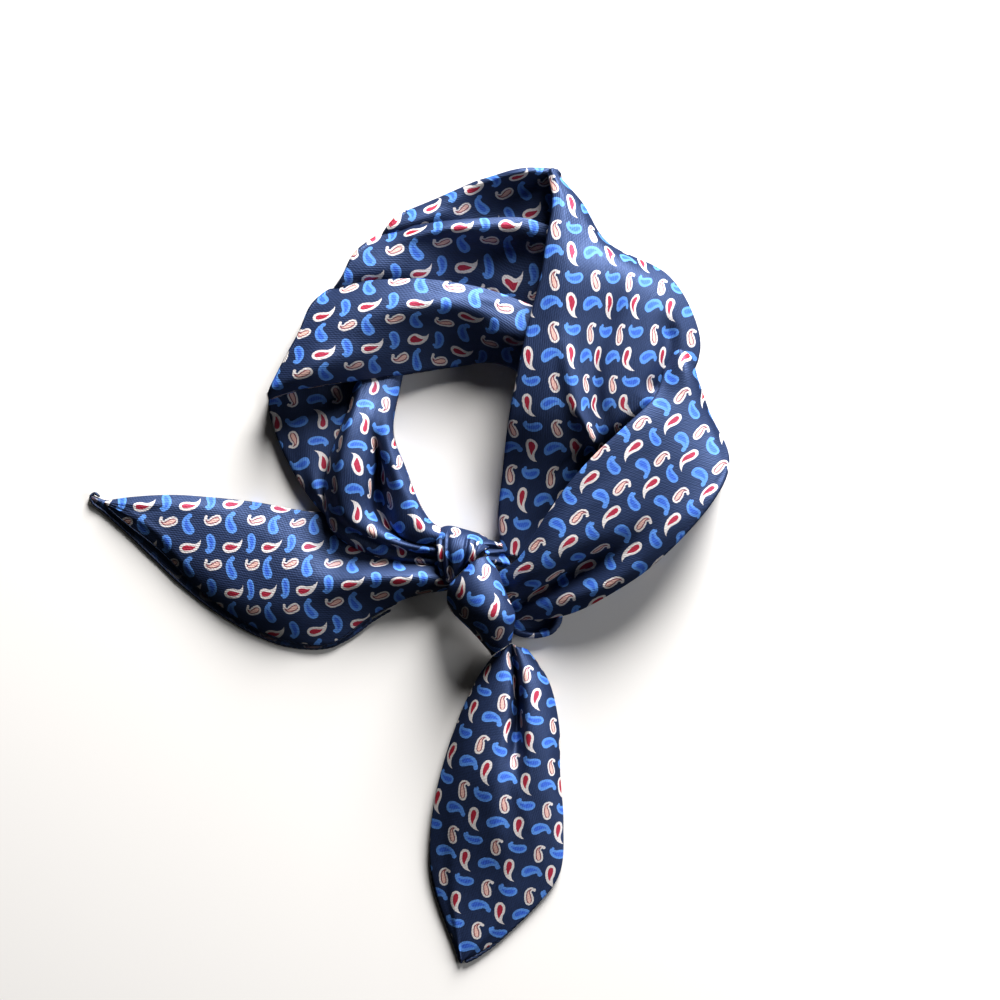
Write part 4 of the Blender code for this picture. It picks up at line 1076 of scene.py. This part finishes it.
knotWrap = {
    "node": "knot_wrap",
    "folds": {
        "right edge": ((47.5, -36, 8), (48.8, -29, 13), (49.3, -22, 17), (46, -14.5, 18), (43.3, -8, 18.5),
            (41.5, -3, 18.5), (36.5, 4, 18)),
        "right crown": ((46, -37, 12), (46, -29, 20), (45.5, -22, 24), (42, -13, 24.5), (39, -6, 23.5),
            (37, -1, 22.5), (34.3, 3.8, 20.5)),
        "middle": ((43.5, -38.5, 13.5), (39.5, -30, 22), (37, -22, 27), (34.5, -13, 27), (33, -6, 25.5),
            (32.5, -1, 23.5), (32, 3, 21)),
        "left crown": ((41, -40, 10.5), (33, -31, 18), (27, -22, 23), (25, -14, 24.5), (25.5, -7.5, 24.5),
            (27.5, -3.2, 23.2), (30, 1.6, 21)),
        "left edge": ((38.5, -42, 6), (29, -31, 8.5), (19, -20.5, 11), (17.5, -14, 13.5), (19, -8.6, 16.5),
            (23, -4.6, 18.5), (28, 0.1, 20)),
    },
    "edges": ("lap", "lap", "lap", "lap"),
    "look": {"spacing": 0.7, "rollRadius": 0.9, "tuckBack": 5.0},
    "slack": {"seed": 31, "count": 6, "height": 0.3},
    "print": ((38.8, -18.5, 0, 0), (24, -12, 0, 1), (36.5, -4, 0.5, 0.5), (42, -33, -0.5, -0.5)),
}
makeSheet("knotWrap", knotWrap)

# the front tail
frontTail = {
    "node": "tail_front",
    "folds": {
        "left side": ((39, -43, 4), (31.5, -54, 5), (23.5, -71, 5), (15, -97, 4.5), (10.5, -120, 4),
            (10, -141, 3.5), (13.8, -158, 3), (19.8, -175, 2.6), (23.7, -186, 2.4)),
        "left crown": ((41.5, -40.5, 8.5), (37, -54, 11.5), (30, -72, 12.5), (24.5, -97, 12.5),
            (21, -120, 10), (20, -141, 7), (20.5, -159, 5), (22.3, -175.5, 3.6), (24, -186.3, 2.6)),
        "left of groove": ((45, -38.5, 10), (46.8, -54, 13), (45.5, -72, 15), (40, -98, 17.5), (36, -121, 13),
            (32.5, -143, 8), (29.5, -161.5, 5.2), (26, -177, 3.8), (24.4, -186.3, 2.7)),
        "groove": ((47.4, -37, 6), (50, -54, 3), (50.4, -72, 3), (49, -96, 13), (46.5, -122, 12.5),
            (43, -145, 8), (37.5, -163.5, 5.2), (29.5, -178.5, 3.8), (24.8, -186.2, 2.7)),
        "right of groove": ((50, -38, 9.5), (53.6, -54, 13.5), (54.6, -72, 15.5), (56, -96, 15),
            (56.5, -122, 11), (52, -146, 7), (44, -164, 4.8), (32.5, -178, 3.6), (25.1, -186, 2.6)),
        "right crown": ((52.8, -38.6, 8), (60.2, -54, 11.5), (63.4, -73, 12.5), (65.2, -97, 11.5),
            (65.8, -122, 8), (61, -146, 5), (50, -164, 3.6), (36, -178, 3), (25.4, -185.9, 2.5)),
        "right side": ((55, -39.5, 4), (64.8, -54, 5), (69.6, -73, 5), (70.5, -98, 4.5), (71.8, -122, 4),
            (69.2, -146.8, 3), (55.8, -163.4, 2.6), (39, -178, 2.5), (25.7, -185.7, 2.4)),
    },
    "edges": ("drop", "drop", None, "drop"),
    "slack": {"seed": 41, "count": 14, "height": 0.45},
    "print": ((36.5, -96, 0, 0), (30.5, -118.5, 1, 0), (26.5, -138, 2, 0), (22.5, -158, 3, 0),
        (55, -101, 0, 1), (52.5, -123, 1, 1), (47.5, -143, 2, 1), (43, -163.5, 3, 1), (20, -89, 0, -1),
        (30, -67, -1, -1)),
}
makeSheet("frontTail", frontTail)
print("cloth laid")

# light, floor and camera, in metres
studio = {
    "cameraHeight": 1.5,
    "sceneWidth": 0.470,  # of the picture, at the height below
    "sharpHeight": 0.008,
    "middle": (0.0423, 0.0308),
    "window": {"at": (0.62, 1.69, 0.75), "size": 1.05, "watts": 128.0, "colour": (1.0, 0.985, 0.965)},
    "fill": {"at": (1.5, 0.0, 0.75), "size": 1.0, "watts": 14.0, "colour": (0.98, 0.99, 1.0)},
    "sky": 0.03,
    "gamma": 0.86,
    "floor": (0.82, 0.808, 0.798),
    "floorHalf": 3.0,
}


def areaLight(name, spec):
    # A round soft light, turned to face the origin.
    light = bpy.data.lights.new(name, "AREA")
    light.shape = "DISK"
    light.size = spec["size"]
    light.energy = spec["watts"]
    light.color = spec["colour"]
    holder = bpy.data.objects.new(name, light)
    holder.location = spec["at"]
    x, y, z = spec["at"]
    tip = math.pi / 2 - math.atan2(z, math.hypot(x, y))
    holder.rotation_euler = (tip, 0.0, math.atan2(-y, -x) - math.pi / 2)
    bpy.context.scene.collection.objects.link(holder)


areaLight("window", studio["window"])
areaLight("fill", studio["fill"])
bpy.context.scene.view_settings.view_transform = "Standard"
bpy.context.scene.view_settings.gamma = studio["gamma"]
sky = bpy.data.worlds.new("studioSky")
bpy.context.scene.world = sky
sky.use_nodes = True
sky.node_tree.nodes["Background"].inputs["Color"].default_value = (1.0, 0.97, 0.92, 1.0)
sky.node_tree.nodes["Background"].inputs["Strength"].default_value = studio["sky"]

floorMesh = bpy.data.meshes.new("floor")
half = studio["floorHalf"]
corners = [(-half, -half, 0), (half, -half, 0), (half, half, 0), (-half, half, 0)]
floorMesh.from_pydata(corners, [], [(0, 1, 2, 3)])
floor = bpy.data.objects.new("floor", floorMesh)
bpy.context.scene.collection.objects.link(floor)
paper = bpy.data.materials.new("paleFloor")
paper.use_nodes = True
paper.node_tree.nodes["Principled BSDF"].inputs["Base Color"].default_value = (*studio["floor"], 1.0)
paper.node_tree.nodes["Principled BSDF"].inputs["Roughness"].default_value = 0.8
floorMesh.materials.append(paper)
floor.visible_glossy = False  # so that the cloth's dark sides stay dark
floor.visible_diffuse = False

eye = bpy.data.cameras.new("fromAbove")
eye.sensor_width = 36.0
eye.lens = 36.0 * (studio["cameraHeight"] - studio["sharpHeight"]) / studio["sceneWidth"]
camera = bpy.data.objects.new("fromAbove", eye)
camera.location = (*studio["middle"], studio["cameraHeight"])
bpy.context.scene.collection.objects.link(camera)
bpy.context.scene.camera = camera
